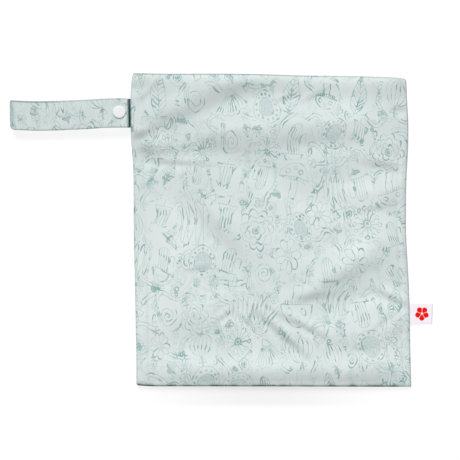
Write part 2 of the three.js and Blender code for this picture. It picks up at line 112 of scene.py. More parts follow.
# Woven label
LABEL_WIDTH = 0.0234
LABEL_HEIGHT = 0.0203
LABEL_WALL = 0.001
LABEL_RISE = 0.075
LABEL_TURN = math.radians(-2)
LABEL_SEWN = 0.005
LABEL_PLY = 0.0004

SEAM_MARGIN = 0.0012
EDGE_LINE = 0.0014
# The profile x * exp(-x * x) times this peaks at 1
STEP_PEAK = math.sqrt(2 * math.e)
LIFT_RUN = 0.011
LIP_FADE = 0.046
LIP_CORNER = 0.012

# Levels that follow from the stack of layers
SEAT = CLOTH_WALL + FIT_GAP
RIM_REACH = CLOTH_WALL + INNER_ROUND
RIM_INSIDE = ALLOWANCE_WALL + FIT_GAP
SNAP_STACK = 4 * FIT_GAP + FLANGE_WALL + STUD_HEIGHT + WEB_WALL
LIP_LIFT = CHAIN_HEIGHT + TAPE_WALL
LIP_MIDDLE = (CLOTH_WALL + SEAT + LIP_LIFT) / 2
ZIP_LENGTH = BAG_WIDTH - 2 * ZIP_END_GAP
SLIDER_X = BAG_WIDTH / 2 - SLIDER_END_GAP - SLIDER_LENGTH / 2
SLIDER_Y = -ZIP_RECESS - CHAIN_DEPTH / 2
STRAP_UP = (BAG_HEIGHT - STRAP_DROP) / BAG_HEIGHT
LABEL_UP = LABEL_RISE / BAG_HEIGHT
SNAP_X = -STRAP_END_GAP - SNAP_INSET

# How far each side edge strays to the right of straight, as shares of EDGE_WANDER: up, left, right
SIDE_EDGES = np.array([
    (0, 0.7, 0.8),
    (0.1, 0.65, 0.58),
    (0.2, 0.46, 0.36),
    (0.32, 0.26, 0.12),
    (0.4, 0.08, -0.25),
    (0.5, -0.1, -0.7),
    (0.6, -0.14, -0.72),
    (0.68, -0.2, -0.57),
    (0.73, -0.43, -0.33),
    (0.79, -0.85, -0.07),
    (0.86, -0.97, -0.07),
    (0.93, -0.97, -0.4),
    (0.98, -0.7, -0.58),
    (1, -0.25, -0.63),
])
# How far the bottom and top edges stray upwards of straight, as shares of EDGE_WANDER: across, bottom, top
END_EDGES = np.array([
    (0, 0.17, 0.46),
    (0.05, -0.06, 0.29),
    (0.13, -0.07, 0.2),
    (0.36, -0.1, 0.2),
    (0.5, -0.11, 0),
    (0.62, -0.14, -0.29),
    (0.8, -0.18, -0.49),
    (0.96, -0.21, -0.86),
    (1, -0.23, -1.03),
])
# Corner radii as shares of EDGE_WANDER
CORNER = {"bottom_left": 0.7, "bottom_right": 0.2, "top_left": 0.15, "top_right": 0.85}
# How far the strap strays sideways of straight: share of its reach, share of STRAP_BOW
STRAP_BOWS = np.array([(0, 0), (0.2, 0), (0.33, -0.38), (0.55, -0.82), (0.7, -1), (0.83, -0.85), (1, -0.15)])

# Main ridges and valleys: across, up, half-length and half-width as shares of the height, turn in
# degrees from +X, and rise as a share of FOLD_HEIGHT
FOLDS = [
    (0.62, 0.85, 0.3, 0.055, 7, 0.65),
    (0.77, 0.86, 0.1, 0.055, 5, 0.3),
    (0.18, 0.93, 0.11, 0.045, 21, 0.35),
    (0.375, 0.52, 0.14, 0.04, -64, 0.5),
    (0.51, 0.27, 0.13, 0.038, -58, 0.55),
    (0.755, 0.38, 0.15, 0.036, 32, 0.85),
    (0.93, 0.78, 0.06, 0.026, -10, 0.35),
    (0.92, 0.63, 0.07, 0.03, 8, 0.4),
    (0.3, 0.27, 0.08, 0.035, 25, 0.35),
    (0.18, 0.4, 0.1, 0.05, 70, 0.3),
    (0.63, 0.205, 0.09, 0.032, -24, 0.35),
    (0.5, 0.05, 0.38, 0.03, 0, 0.35),
    (0.1, 0.65, 0.12, 0.05, -65, -0.6),
    (0.42, 0.71, 0.14, 0.045, -14, -0.8),
    (0.66, 0.605, 0.1, 0.045, -20, -0.5),
    (0.8, 0.67, 0.09, 0.035, 10, -0.4),
    (0.9, 0.555, 0.08, 0.03, 5, -0.35),
    (0.78, 0.275, 0.14, 0.04, 24, -0.7),
    (0.24, 0.57, 0.1, 0.04, -50, -0.35),
    (0.21, 0.15, 0.12, 0.05, 0, -0.5),
    (0.45, 0.165, 0.1, 0.036, -40, -0.5),
    (0.87, 0.13, 0.09, 0.04, 15, -0.35),
]

# Small creases of the front cloth: across, up, half-length and half-width as shares of the height, turn
# in degrees, and rise in metres
CREASES = [
    (0.30, 0.955, 0.16, 0.014, 16, 0.0003),
    (0.52, 0.835, 0.2, 0.015, 6, 0.0003),
    (0.80, 0.855, 0.13, 0.013, 3, 0.0003),
    (0.42, 0.745, 0.11, 0.014, -4, -0.0004),
    (0.16, 0.735, 0.06, 0.012, -12, -0.0003),
    (0.96, 0.895, 0.03, 0.011, -30, -0.0003),
    (0.28, 0.57, 0.07, 0.012, -50, 0.0003),
    (0.45, 0.37, 0.09, 0.013, -60, 0.0003),
    (0.70, 0.315, 0.08, 0.012, 27, -0.0003),
    (0.46, 0.21, 0.08, 0.011, -42, -0.0003),
    (0.36, 0.2, 0.05, 0.011, -50, 0.0002),
    (0.2, 0.1, 0.07, 0.012, 6, 0.0002),
    (0.13, 0.33, 0.06, 0.012, 60, 0.0002),
]

# Slopes between two levels of the front cloth, in the same columns: the side towards the mouth is higher
# by twice the rise, or lower where the rise is negative
SLOPES = [
    (0.235, 0.89, 0.22, 0.042, 22, 0.0018),
    (0.03, 0.80, 0.05, 0.020, 25, 0.0010),
    (0.05, 0.755, 0.07, 0.04, -14, 0.0022),
    (0.2, 0.80, 0.2, 0.08, 2, 0.0008),
    (0.17, 0.715, 0.11, 0.014, -3, 0.0007),
    (0.60, 0.79, 0.2, 0.038, 4, 0.0009),
    (0.905, 0.716, 0.06, 0.024, -11, 0.0012),
    (0.886, 0.578, 0.065, 0.016, 14, 0.0004),
    (0.29, 0.51, 0.14, 0.044, -45, 0.0018),
    (0.81, 0.365, 0.17, 0.03, 26, 0.0004),
    (0.65, 0.29, 0.06, 0.022, 8, 0.0009),
    (0.54, 0.163, 0.1, 0.018, -43, 0.0014),
    (0.603, 0.20, 0.075, 0.018, -27, 0.0012),
    (0.933, 0.288, 0.045, 0.02, -30, 0.0018),
    (0.317, 0.224, 0.035, 0.012, 37, 0.0005),
    (0.397, 0.214, 0.035, 0.012, -45, 0.0006),
    (0.82, 0.128, 0.03, 0.018, 0, 0.0004),
    (0.893, 0.208, 0.03, 0.013, 45, 0.0004),
    (0.23, 0.377, 0.04, 0.014, 8, 0.0005),
    (0.98, 0.90, 0.04, 0.016, 5, 0.0007),
    (0.556, 0.923, 0.04, 0.012, 20, 0.0005),
    (0.66, 0.933, 0.06, 0.012, 29, 0.0004),
    (0.06, 0.935, 0.03, 0.014, 45, 0.0006),
    (0.5, 0.085, 0.8, 0.05, 0, -0.0009),
    (0.5, 0.955, 0.8, 0.05, 0, 0.0012),
    (0.30, 0.82, 0.12, 0.025, 15, -0.0004),
    (0.75, 0.45, 0.16, 0.035, 18, -0.0005),
]

# Small wrinkles of the front cloth: rise, size, skew of x by y and of y by x, and seed
WRINKLES = [
    (0.00022, 0.030, 0.4, -0.2, 3),
    (0.00010, 0.013, -0.3, 0, 5),
    (0.00003, 0.0055, 0, 0, 7),
]
RELIEF_FADE = 0.010
POUCH_POWER = 2.4

# Over the turned-in edges: the step's height, the pressed line's depth and width, and the puckers' size
SEAM_STEP = 0.00028
SEAM_LINE_DEPTH = 0.0005
SEAM_LINE_WIDTH = 0.0013
PUCKER_RISE = 0.00016
PUCKER_REACH = 0.009
PUCKER_LENGTH = 0.008

# Channel above the fold at the bottom
CHANNEL_DEPTH = 0.0002
CHANNEL_UP = 0.0055
CHANNEL_WIDTH = 0.0022

# Painted shade of the cloth, from 0 for none to 1 for the full shade colour
BOTTOM_SPREAD = 2.4
TOP_SHADE = 0.85
TOP_SHADE_DROP = 0.25
LEFT_SHADE = 0.25
RIGHT_SHADE = 0.4
LEFT_SEAM_SHADE = 0.08
RIGHT_SEAM_SHADE = 0.07
UPPER_LEFT_SHADE = 0.085
STRAP_EDGE_SHADE = 0.85
STRAP_EDGE_DROP = 0.4
STRAP_TIP_SHADE = 0.6
STRAP_FOLD_SHADE = 0.36
STRAP_SHADE = 0.035

# Mesh spacing of the front and back cloths
FRONT_SPACING = 0.0016
BACK_SPACING = 0.0035

# Where each piece is cut from the flat print
FRONT_PRINT = (0.0, 0.0)
BACK_PRINT = (0.7, 0.9)
STRAP_PRINT = (0.31, 0.47)
TURNED_EDGE_PRINT = (0.2, 0.7)


def table_at(table, column, place):
    """Value of one column at a place between the rows, on a smooth curve through them."""
    stations = table[:, 0]
    values = table[:, column]
    place = np.asarray(place, float)
    last = len(table) - 1
    i = np.clip(np.searchsorted(stations, place, side="right") - 1, 0, last - 1)
    before = np.maximum(i - 1, 0)
    after = np.minimum(i + 2, last)
    span = stations[i + 1] - stations[i]
    t = (place - stations[i]) / span
    slope_in = (values[i + 1] - values[before]) / (stations[i + 1] - stations[before]) * span
    slope_out = (values[after] - values[i]) / (stations[after] - stations[i]) * span
    rest = 1 - t
    return (
        values[i] * (1 + 2 * t) * rest**2
        + slope_in * t * rest**2
        + values[i + 1] * (3 - 2 * t) * t**2
        - slope_out * t**2 * rest
    )


def smooth(x, low, high):
    t = np.clip((x - low) / (high - low), 0, 1)
    return t * t * (3 - 2 * t)


def plateau(offset, half, run):
    return 1 - smooth(np.abs(offset), half, half + run)


def round_in(radius, distance):
    """How far a rounded corner takes an edge in, at a distance from the other edge."""
    left = np.maximum(1 - distance / radius, 0)
    return radius * (1 - np.sqrt(1 - left**2))


def rim_round(distance, reach):
    """Quarter round from 0 at an edge to 1 at a reach from it."""
    left = np.maximum(1 - distance / reach, 0)
    return np.sqrt(1 - left**2)


def pouch_rise(distance, reach):
    return 1 - np.maximum(1 - distance / reach, 0) ** POUCH_POWER


def plan_point(u, v, inset=0.0):
    """x and y of the bag's plan, with the outline drawn in by inset."""
    low = v * BAG_HEIGHT
    high = BAG_HEIGHT - low
    left = (
        -BAG_WIDTH / 2 + inset + EDGE_WANDER * table_at(SIDE_EDGES, 1, v)
        + round_in(CORNER["bottom_left"] * EDGE_WANDER, low)
        + round_in(CORNER["top_left"] * EDGE_WANDER, high)
    )
    right = (
        BAG_WIDTH / 2 - inset + EDGE_WANDER * table_at(SIDE_EDGES, 2, v)
        - round_in(CORNER["bottom_right"] * EDGE_WANDER, low)
        - round_in(CORNER["top_right"] * EDGE_WANDER, high)
    )
    bottom = -BAG_HEIGHT / 2 + inset + EDGE_WANDER * table_at(END_EDGES, 1, u)
    top = BAG_HEIGHT / 2 - inset + EDGE_WANDER * table_at(END_EDGES, 2, u)
    return left + (right - left) * u, bottom + (top - bottom) * v


def plan_place(u, v):
    """One point of the bag's plan."""
    return plan_point(np.float64(u), np.float64(v))


def guest_lift(u, v):
    """How far the strap, the label and the zip raise the front cloth above its seam."""
    width = u * BAG_WIDTH
    side = np.minimum(width, BAG_WIDTH - width)
    strap = (
        (STRAP_WALL + FIT_GAP)
        * plateau((v - STRAP_UP) * BAG_HEIGHT, STRAP_WIDTH / 2 + SEAM_MARGIN, LIFT_RUN)
        * plateau(width, STRAP_SEWN + SEAM_MARGIN, 2 * LIFT_RUN)
    )
    label = (
        (LABEL_WALL + FIT_GAP)
        * plateau((v - LABEL_UP) * BAG_HEIGHT, LABEL_HEIGHT / 2 + SEAM_MARGIN, LIFT_RUN)
        * plateau(BAG_WIDTH - width, LABEL_SEWN + SEAM_MARGIN, 2 * LIFT_RUN)
    )
    half = (SLIDER_LENGTH + TAB_LENGTH) / 2
    slider_middle = BAG_WIDTH - SLIDER_END_GAP - half
    over = plateau(width - slider_middle, half + SEAM_MARGIN, LIFT_RUN)
    lip = LIP_LIFT + (SLIDER_HEIGHT + FIT_GAP - LIP_LIFT) * over
    return strap + label + lip * smooth(side, 0, LIP_CORNER) * plateau((1 - v) * BAG_HEIGHT, 0, LIP_FADE)


def ridge(u, v, across, up, long, wide, turn):
    """Bell of height 1 along a fold."""
    angle = math.radians(turn)
    dx = (u - across) * BAG_WIDTH
    dy = (v - up) * BAG_HEIGHT
    along = (dx * math.cos(angle) + dy * math.sin(angle)) / (long * BAG_HEIGHT)
    beside = (dy * math.cos(angle) - dx * math.sin(angle)) / (wide * BAG_HEIGHT)
    return np.exp(-(along**2) - beside**2)


def slope(u, v, across, up, long, wide, turn):
    """Step across a fold, from -1 below its middle to 1 above it."""
    angle = math.radians(turn)
    beside = ((v - up) * BAG_HEIGHT * math.cos(angle) - (u - across) * BAG_WIDTH * math.sin(angle))
    return STEP_PEAK * beside / (wide * BAG_HEIGHT) * ridge(u, v, across, up, long, wide, turn)


def edge_distances(u, v):
    side = np.minimum(u, 1 - u) * BAG_WIDTH
    end = np.minimum(v, 1 - v) * BAG_HEIGHT
    return side, end


def fold_rise(u, v):
    side, end = edge_distances(u, v)
    rise = sum(row[5] * ridge(u, v, *row[:5]) for row in FOLDS)
    return FOLD_HEIGHT * rise * pouch_rise(side, FOLD_FADE) * pouch_rise(end, FOLD_FADE)


def lattice_noise(x, y, cell, seed):
    """Smooth noise from -1 to 1 with features of about one cell, the same on each run."""
    table = np.random.default_rng(seed).uniform(-1, 1, (64, 64))
    gx = x / cell
    gy = y / cell
    i = np.floor(gx).astype(int)
    j = np.floor(gy).astype(int)
    fx = gx - i
    fy = gy - j
    fx = fx * fx * (3 - 2 * fx)
    fy = fy * fy * (3 - 2 * fy)
    low = table[i % 64, j % 64] * (1 - fx) + table[(i + 1) % 64, j % 64] * fx
    high = table[i % 64, (j + 1) % 64] * (1 - fx) + table[(i + 1) % 64, (j + 1) % 64] * fx
    return low * (1 - fy) + high * fy


def fine_relief(u, v):
    """Creases, slopes, small wrinkles and seam lines of the front cloth."""
    side, end = edge_distances(u, v)
    x = u * BAG_WIDTH
    y = v * BAG_HEIGHT
    relief = sum(row[5] * ridge(u, v, *row[:5]) for row in CREASES)
    relief = relief + sum(row[5] * slope(u, v, *row[:5]) for row in SLOPES)
    for rise, size, skew_x, skew_y, seed in WRINKLES:
        relief = relief + rise * lattice_noise(x + skew_x * y, y + skew_y * x, size, seed)
    relief = relief * pouch_rise(side, RELIEF_FADE) * pouch_rise(end, RELIEF_FADE)
    # The turned-in edges lie under a low step, with a pressed line where they end
    edge_low = smooth(y, 0.004, 0.03) * smooth(BAG_HEIGHT - y, 0.02, 0.09)
    for distance, width in ((x, ALLOWANCE_LEFT), (BAG_WIDTH - x, ALLOWANCE_RIGHT)):
        line = np.exp(-(((distance - width) / SEAM_LINE_WIDTH) ** 2))
        step = smooth(distance, 0.002, 0.004) * (1 - smooth(distance, width - 0.0015, width + 0.001))
        relief = relief + (SEAM_STEP * step - SEAM_LINE_DEPTH * line) * edge_low
        pucker = np.exp(-((distance / PUCKER_REACH) ** 2)) * smooth(distance, 0.0008, 0.003)
        relief = relief + PUCKER_RISE * pucker * lattice_noise(y, distance * 0.25, PUCKER_LENGTH, 11)
    # The fold at the bottom draws a soft channel a few millimetres above it
    channel = np.exp(-(((y - CHANNEL_UP) / CHANNEL_WIDTH) ** 2))
    return relief - CHANNEL_DEPTH * channel * smooth(side, 0.004, 0.02)


def near(distance):
    """Bell from 1 at a line to nearly 0 three millimetres from it."""
    return np.exp(-((distance / EDGE_LINE) ** 2))


def edge_shade(u, v):
    """Painted shade of the front cloth: where it turns under at its edges, in its two seam lines, and a
    little at the upper left."""
    x = u * BAG_WIDTH
    y = v * BAG_HEIGHT
    uneven = 0.5 + 0.5 * lattice_noise(x, 0 * x, 0.007, 51)
    broad = near(y / BOTTOM_SPREAD) * 0.8 * uneven**2
    bottom = (near(y) * (0.6 + 0.4 * uneven) + broad) * (1 - 0.8 * smooth(u, 0.93, 0.965))
    top = near(BAG_HEIGHT - y) * (TOP_SHADE - TOP_SHADE_DROP * smooth(u, 0.45, 0.75))
    sides = LEFT_SHADE * near(x) + RIGHT_SHADE * near(BAG_WIDTH - x)
    seams = LEFT_SEAM_SHADE * near(x - ALLOWANCE_LEFT) * (1 - smooth(v, 0.35, 0.75))
    seams = seams + RIGHT_SEAM_SHADE * near(BAG_WIDTH - x - ALLOWANCE_RIGHT) * (1 - smooth(v, 0.2, 0.6))
    upper_left = UPPER_LEFT_SHADE * smooth(v, 0.4, 0.75) * (1 - smooth(u, 0.3, 0.65))
    return np.minimum(np.maximum.reduce([bottom, top, sides, seams, upper_left]), 1)


def no_shade(u, v):
    return np.zeros_like(u)


def front_point(u, v, inside):
    side, end = edge_distances(u, v)
    reach = INNER_ROUND if inside else RIM_REACH
    rim = (RIM_INSIDE if inside else RIM_INSIDE + CLOTH_WALL) * rim_round(side, reach) * rim_round(end, reach)
    pouch = LOFT * pouch_rise(side, LOFT_REACH) * pouch_rise(end, LOFT_REACH)
    x, y = plan_point(u, v, CLOTH_WALL if inside else 0.0)
    z = SEAT + guest_lift(u, v) + rim + pouch + fold_rise(u, v)
    return x, y, z + fine_relief(u, v)


def back_point(u, v, inside):
    """The back cloth lies on the floor, with low wrinkles that stay within its wall."""
    side, end = edge_distances(u, v)
    x, y = plan_point(u, v)
    if inside:
        return x, y, np.full_like(x, CLOTH_WALL)
    flat = rim_round(side, INNER_ROUND) * rim_round(end, INNER_ROUND)
    wrinkle = np.maximum(lattice_noise(x + 0.5 * y + 1, y + 1, 0.021, 17) - 0.35, 0) * 0.00045
    return x, y, np.maximum(CLOTH_WALL / 2 * (1 - flat), wrinkle * flat)


def new_object(name, data):
    obj = bpy.data.objects.new(name, data)
    bpy.context.scene.collection.objects.link(obj)
    return obj


def mesh_object(name, points, faces, flat_places=None, sharp=None, shade=None):
    """New smooth object that keeps each point's place on its flat cloth, and the painted shade at that point.
    """
    mesh = bpy.data.meshes.new(name)
    mesh.from_pydata([tuple(map(float, p)) for p in points], [], [tuple(map(int, f)) for f in faces])
    mesh.shade_smooth()
    if sharp is not None:
        mesh.set_sharp_from_angle(angle=math.radians(sharp))
    if flat_places is not None:
        places = np.zeros((len(mesh.vertices), 3))
        places[:, :2] = flat_places
        attribute = mesh.attributes.new("flat_place", "FLOAT_VECTOR", "POINT")
        attribute.data.foreach_set("vector", places.ravel())
    if shade is not None:
        attribute = mesh.attributes.new("edge_shade", "FLOAT", "POINT")
        attribute.data.foreach_set("value", np.asarray(shade, float))
    return new_object(name, mesh)


def finish_piece(obj, material, slot, *nodes):
    """Gives a piece its material and ties it to the frame."""
    obj.data.materials.append(material)
    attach(obj, "root")
    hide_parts(*nodes)
    return obj


def grid_shares(length, reach, spacing):
    """Shares of a length: close together on both rims, then evenly spaced."""
    rim = reach * (1 - np.cos(np.linspace(0, math.pi / 2, 8)))
    count = int(round((length - 2 * reach) / spacing))
    even = np.linspace(reach, length - reach, count + 1)[1:-1]
    return np.concatenate([rim, even, (length - rim)[::-1]]) / length


def wall_between(name, columns, rows, upper, lower, shift, shade):
    """Closed cloth wall between two grids of points, joined along their four edges."""
    u, v = np.meshgrid(columns, rows)
    u = u.ravel()
    v = v.ravel()
    points = np.vstack([np.stack(upper(u, v), 1), np.stack(lower(u, v), 1)])
    across = len(columns)
    layer = len(u)
    base = (np.arange(len(rows) - 1)[:, None] * across + np.arange(across - 1)).ravel()
    top = np.stack([base, base + 1, base + across + 1, base + across], 1)
    under = np.stack([base, base + across, base + across + 1, base + 1], 1) + layer
    rim = np.concatenate([
        np.arange(across - 1),
        np.arange(len(rows) - 1) * across + across - 1,
        (len(rows) - 1) * across + np.arange(across - 1, 0, -1),
        np.arange(len(rows) - 1, 0, -1) * across,
    ])
    after = np.roll(rim, -1)
    edge = np.stack([rim, rim + layer, after + layer, after], 1)
    flat = np.stack([u * BAG_WIDTH + shift[0], v * BAG_HEIGHT + shift[1]], 1)
    # Painted shade at each point
    depth = shade(u, v)
    faces = np.vstack([top, under, edge])
    return mesh_object(name, points, faces, np.vstack([flat, flat]), shade=np.hstack([depth, depth]))


def placed(points, corner, turn):
    """Points turned about Z and moved to a corner's x and y."""
    x, y, z = np.asarray(points).T
    cos = math.cos(turn)
    sin = math.sin(turn)
    return np.stack([corner[0] + x * cos - y * sin, corner[1] + x * sin + y * cos, z], 1)


def arc_lengths(line):
    return np.concatenate([[0], np.cumsum(np.linalg.norm(np.diff(line, axis=0), axis=1))])


def tube_faces(count, size):
    """Faces of a tube of count rings with size points each, closed at both ends."""
    faces = []
    for i in range(count - 1):
        for k in range(size):
            after = (k + 1) % size
            faces.append((i * size + k, (i + 1) * size + k, (i + 1) * size + after, i * size + after))
    faces.append(tuple(range(size)))
    faces.append(tuple(range(count * size - 1, (count - 1) * size - 1, -1)))
    return faces


def band(line, wall, low, high, relief, across=20, rim_steps=6):
    """Points, faces and flat places of a cloth band that follows a line of x and z.

    low and high are its two edges' y at each point of the line, and relief its rise out of the line.
    """
    ahead = np.gradient(line, axis=0)
    ahead /= np.linalg.norm(ahead, axis=1)[:, None]
    out = np.stack([-ahead[:, 1], ahead[:, 0]], 1)
    half = wall / 2
    rim = half * (1 - np.cos(np.linspace(0, math.pi / 2, rim_steps + 1)))
    inner = np.linspace(0, 1, across + 1)[1:-1]
    along = arc_lengths(line)
    # Both ends are rounded over like the edges, down to a thin lip
    to_end = np.minimum(along, along[-1] - along)
    thin = np.maximum(rim_round(to_end, half), 0.2)
    rings = []
    flats = []
    for i in range(len(line)):
        width = high[i] - low[i]
        distances = np.concatenate([rim, half + (width - wall) * inner, (width - rim)[::-1]])
        thick = half * thin[i] * np.minimum(rim_round(distances, half), rim_round(width - distances, half))
        y = low[i] + distances
        rise = relief(along[i], y)
        sides = [np.stack([
            line[i, 0] + out[i, 0] * (rise + sign * thick),
            y,
            line[i, 1] + out[i, 1] * (rise + sign * thick),
        ], 1) for sign in (1, -1)]
        rings.append(np.vstack([sides[0], sides[1][-2:0:-1]]))
        place = np.stack([np.full_like(y, along[i]), y], 1)
        flats.append(np.vstack([place, place[-2:0:-1]]))
    return np.vstack(rings), tube_faces(len(line), len(rings[0])), np.vstack(flats)


class Field:
    """A number at each point of a surface, whose arithmetic adds math nodes to a material's tree."""

    def __init__(self, tree, socket):
        self.tree = tree
        self.socket = socket

    def __add__(self, other):
        return combine("ADD", self, other)

    def __sub__(self, other):
        return combine("SUBTRACT", self, other)

    def __rsub__(self, other):
        return combine("SUBTRACT", other, self)

    def __mul__(self, other):
        return combine("MULTIPLY", self, other)

    def __truediv__(self, other):
        return combine("DIVIDE", self, other)

    def __abs__(self):
        return combine("ABSOLUTE", self)


def feed(tree, sockets, values):
    """Links each field to its socket, and sets each plain number on it."""
    for socket, value in zip(sockets, values):
        if isinstance(value, Field):
            tree.links.new(value.socket, socket)
        else:
            socket.default_value = value


def add_node(tree, kind, **settings):
    node = tree.nodes.new(kind)
    for name, value in settings.items():
        setattr(node, name, value)
    return node


def combine(operation, *values):
    tree = next(value.tree for value in values if isinstance(value, Field))
    node = add_node(tree, "ShaderNodeMath", operation=operation)
    feed(tree, node.inputs, values)
    return Field(tree, node.outputs[0])


def least(first, *others):
    for other in others:
        first = combine("MINIMUM", first, other)
    return first


def most(first, *others):
    for other in others:
        first = combine("MAXIMUM", first, other)
    return first


def centred(value, period):
    """Distance to the nearest multiple of period, with its sign."""
    return combine("WRAP", value, period / 2, -period / 2)


def length(x, y):
    vector = add_node(x.tree, "ShaderNodeCombineXYZ")
    feed(x.tree, vector.inputs, (x, y))
    node = add_node(x.tree, "ShaderNodeVectorMath", operation="LENGTH")
    x.tree.links.new(vector.outputs[0], node.inputs[0])
    return Field(x.tree, node.outputs["Value"])


def fade(value, low, high, start=0.0, end=1.0):
    """Smooth change from start at low to end at high."""
    node = add_node(value.tree, "ShaderNodeMapRange", interpolation_type="SMOOTHSTEP")
    feed(value.tree, node.inputs, (value, low, high, start, end))
    return Field(value.tree, node.outputs[0])


def plane_vector(x, y):
    node = add_node(x.tree, "ShaderNodeCombineXYZ")
    feed(x.tree, node.inputs, (x, y))
    return node.outputs[0]


def split(tree, socket):
    node = add_node(tree, "ShaderNodeSeparateXYZ")
    tree.links.new(socket, node.inputs[0])
    return [Field(tree, output) for output in node.outputs]


def noise(x, y, size, detail=0.0, shift=0.0):
    """Three smooth noises from 0 to 1, with features of about size."""
    node = add_node(x.tree, "ShaderNodeTexNoise", noise_dimensions="2D")
    x.tree.links.new(plane_vector(x + shift, y), node.inputs["Vector"])
    node.inputs["Scale"].default_value = 1 / size
    node.inputs["Detail"].default_value = detail
    node.inputs["Roughness"].default_value = 0.5
    return split(x.tree, node.outputs["Color"])


# Print, in mm: the width of a doodle's cell at each size, half of a line, what darker and heavier strokes
# add to it, the size of dark spots, the spacings of long lines, and how far slow and quick sway move lines
BIG_CELL = 33.0
MIDDLE_CELL = 15.5
SMALL_CELL = 7.5
LINE_HALF = 0.17
ACCENT_HALF = 0.3
STROKE_HALF = 0.2
ACCENT_SIZE = 8.5
TENDRIL_SPACING = 24.0
TENDRIL_HALF = 1.5
HATCH_SPACING = 2.4
SLOW_SWAY = 7
QUICK_SWAY = 1.3
# Big and middle doodles and the long lines are stretched upwards by 1 over this
UPRIGHT = 0.8
# A distance at which a line doesn't show
FAR = 10.0
# Print's strength on the cloth, and the tones of hatched and washed patches in it
PRINT_STRENGTH = 0.74
HATCH_TONE = 0.22
WASH_TONE = 0.06

# The doodles of the print: each gives the distance to its nearest line, in a circle of radius 1


def rays(r, a, count):
    return abs(centred(a, 2 * math.pi / count)) * r


def dots(r, a, count, ring, size):
    """Small circles set evenly round a ring."""
    return length(r - ring, centred(a, 2 * math.pi / count) * r) - size


def daisy(x, y, r, a):
    petals = 9
    lobes = abs(combine("SINE", a * (petals / 2)))
    edge = abs(r - (lobes * 0.27 + 0.68)) * 0.75
    creases = most(rays(r, a, petals), 0.27 - r, r - 0.66)
    return least(edge, creases, abs(r - 0.27), abs(r - 0.14))


def dahlia(x, y, r, a):
    edges = []
    for base, height, petals, shift in ((0.3, 0.14, 6, 0.0), (0.52, 0.17, 8, 0.8), (0.74, 0.2, 10, 0.0)):
        lobes = abs(combine("SINE", a * (petals / 2) + shift))
        edges.append(abs(r - (lobes * height + base)) * 0.8)
    return least(r - 0.07, abs(r - 0.17), *edges)


def leaf(x, y, r, a):
    across = abs(x)
    inside = (1 - y * y) * 0.46 - across
    veins = abs(centred(y - across * 0.9, 0.24)) * 0.74
    return least(abs(inside) * 0.9, most(across, abs(y) - 0.9), most(veins, 0 - inside))


def fern(x, y, r, a):
    across = abs(x)
    out = across / ((1.06 - abs(y)) * 0.66)
    leaflet = abs(abs(centred(y - across * 0.7, 0.26)) - out * (1 - out) * 0.4)
    return least(most(leaflet, (out - 1) * 0.4), most(across, abs(y) - 0.95))


def mushroom(x, y, r, a):
    across = abs(x)
    up = y - 0.02
    cap = most(abs(length(x, up * 1.1) - 0.82), 0 - up)
    brim = most(abs(up), across - 0.82)
    gills = most(abs(centred(x, 0.14)), abs(up + 0.07) - 0.07, across - 0.6)
    spots = least(abs(length(across - 0.38, up - 0.27) - 0.12), abs(length(x, up - 0.5) - 0.1))
    stalk = most(abs(across - 0.2), abs(y + 0.45) - 0.45)
    return least(cap, brim, gills, spots, stalk, most(abs(y + 0.9), across - 0.2))


def pod(x, y, r, a):
    low = y + 0.2
    half = combine("SQRT", most(0.5 - low * low, 0.0004))
    ribs = most(abs(centred(x / half - 0.2, 0.4)) * half, abs(x) - half - 0.02)
    crown = most(abs(abs(x) - (y - 0.5) * 0.8), abs(y - 0.66) - 0.16)
    return least(ribs, crown, most(abs(y - 0.82), abs(x) - 0.26), most(abs(x), abs(y + 0.95) - 0.05))


def fiddlehead(x, y, r, a):
    turn = 0.27
    spiral = most(abs(centred(r - a * (turn / (2 * math.pi)), turn)), r - 0.64)
    bend = y + 0.3
    stem = abs(x - 0.6 + bend * bend * 0.35)
    return least(spiral, most(least(stem, abs(stem - 0.12)), y - 0.1, 0 - (y + 0.78)))


def fan(x, y, r, a):
    up = y + 0.85
    far = length(x, up)
    turn = combine("ARCTAN2", x, up)
    wide = abs(turn)
    ribs = most(abs(centred(turn, 0.16)) * far, far - 1.36, 0.4 - far, wide - 0.72)
    rim = most(abs(far - (combine("COSINE", turn * 19) * 0.05 + 1.5)), wide - 0.78)
    return least(ribs, rim, most(abs(wide - 0.76) * far, far - 1.5))


def berries(x, y, r, a):
    across = abs(x)
    pair = length(across - 0.46, y + 0.02)
    top = length(x, y - 0.56)
    fork = most(abs(across - (y + 0.85) * 0.6), abs(y + 0.6) - 0.27)
    stems = least(most(across, abs(y + 0.35) - 0.6), fork)
    return least(abs(pair - 0.3), abs(top - 0.3), pair - 0.07, top - 0.07, stems)


def small_leaf(x, y, r, a):
    inside = (1 - y * y) * 0.5 - abs(x)
    return least(abs(inside) * 0.9, most(abs(x), abs(y) - 0.9))


def seed_head(x, y, r, a):
    count = 13
    spokes = most(rays(r, a, count), 0.18 - r, r - 0.68)
    return least(spokes, abs(dots(r, a, count, 0.8, 0.11)), abs(r - 0.18), r - 0.05)


def rosette(x, y, r, a):
    """Ring round a patch that print_ink fills with speckles."""
    return least(abs(r - 0.56), dots(r, a, 14, 0.74, 0.05), abs(r - 0.92))


def reeds(x, y, r, a):
    """Upright blades side by side, pointed at both ends."""
    spacing = 0.42
    out = centred(x + y * y * 0.16, spacing)
    point = (1 - y * y) * (spacing * 0.4)
    return abs(abs(out) - point)


def bell(x, y, r, a):
    """Long flower whose petals part at the mouth."""
    across = abs(x)
    low = y + 0.55
    wall = abs(across - (low * low * 0.26 + 0.24))
    petals = most(abs(y + 0.62 - abs(combine("SINE", x * 8)) * 0.16), across - 0.5)
    seams = most(abs(centred(x, 0.17)), across - 0.34, abs(y) - 0.42)
    stalk = most(across, abs(y - 0.8) - 0.2)
    return least(most(wall, abs(y + 0.02) - 0.6), petals, seams, stalk, most(abs(y - 0.58), across - 0.55))


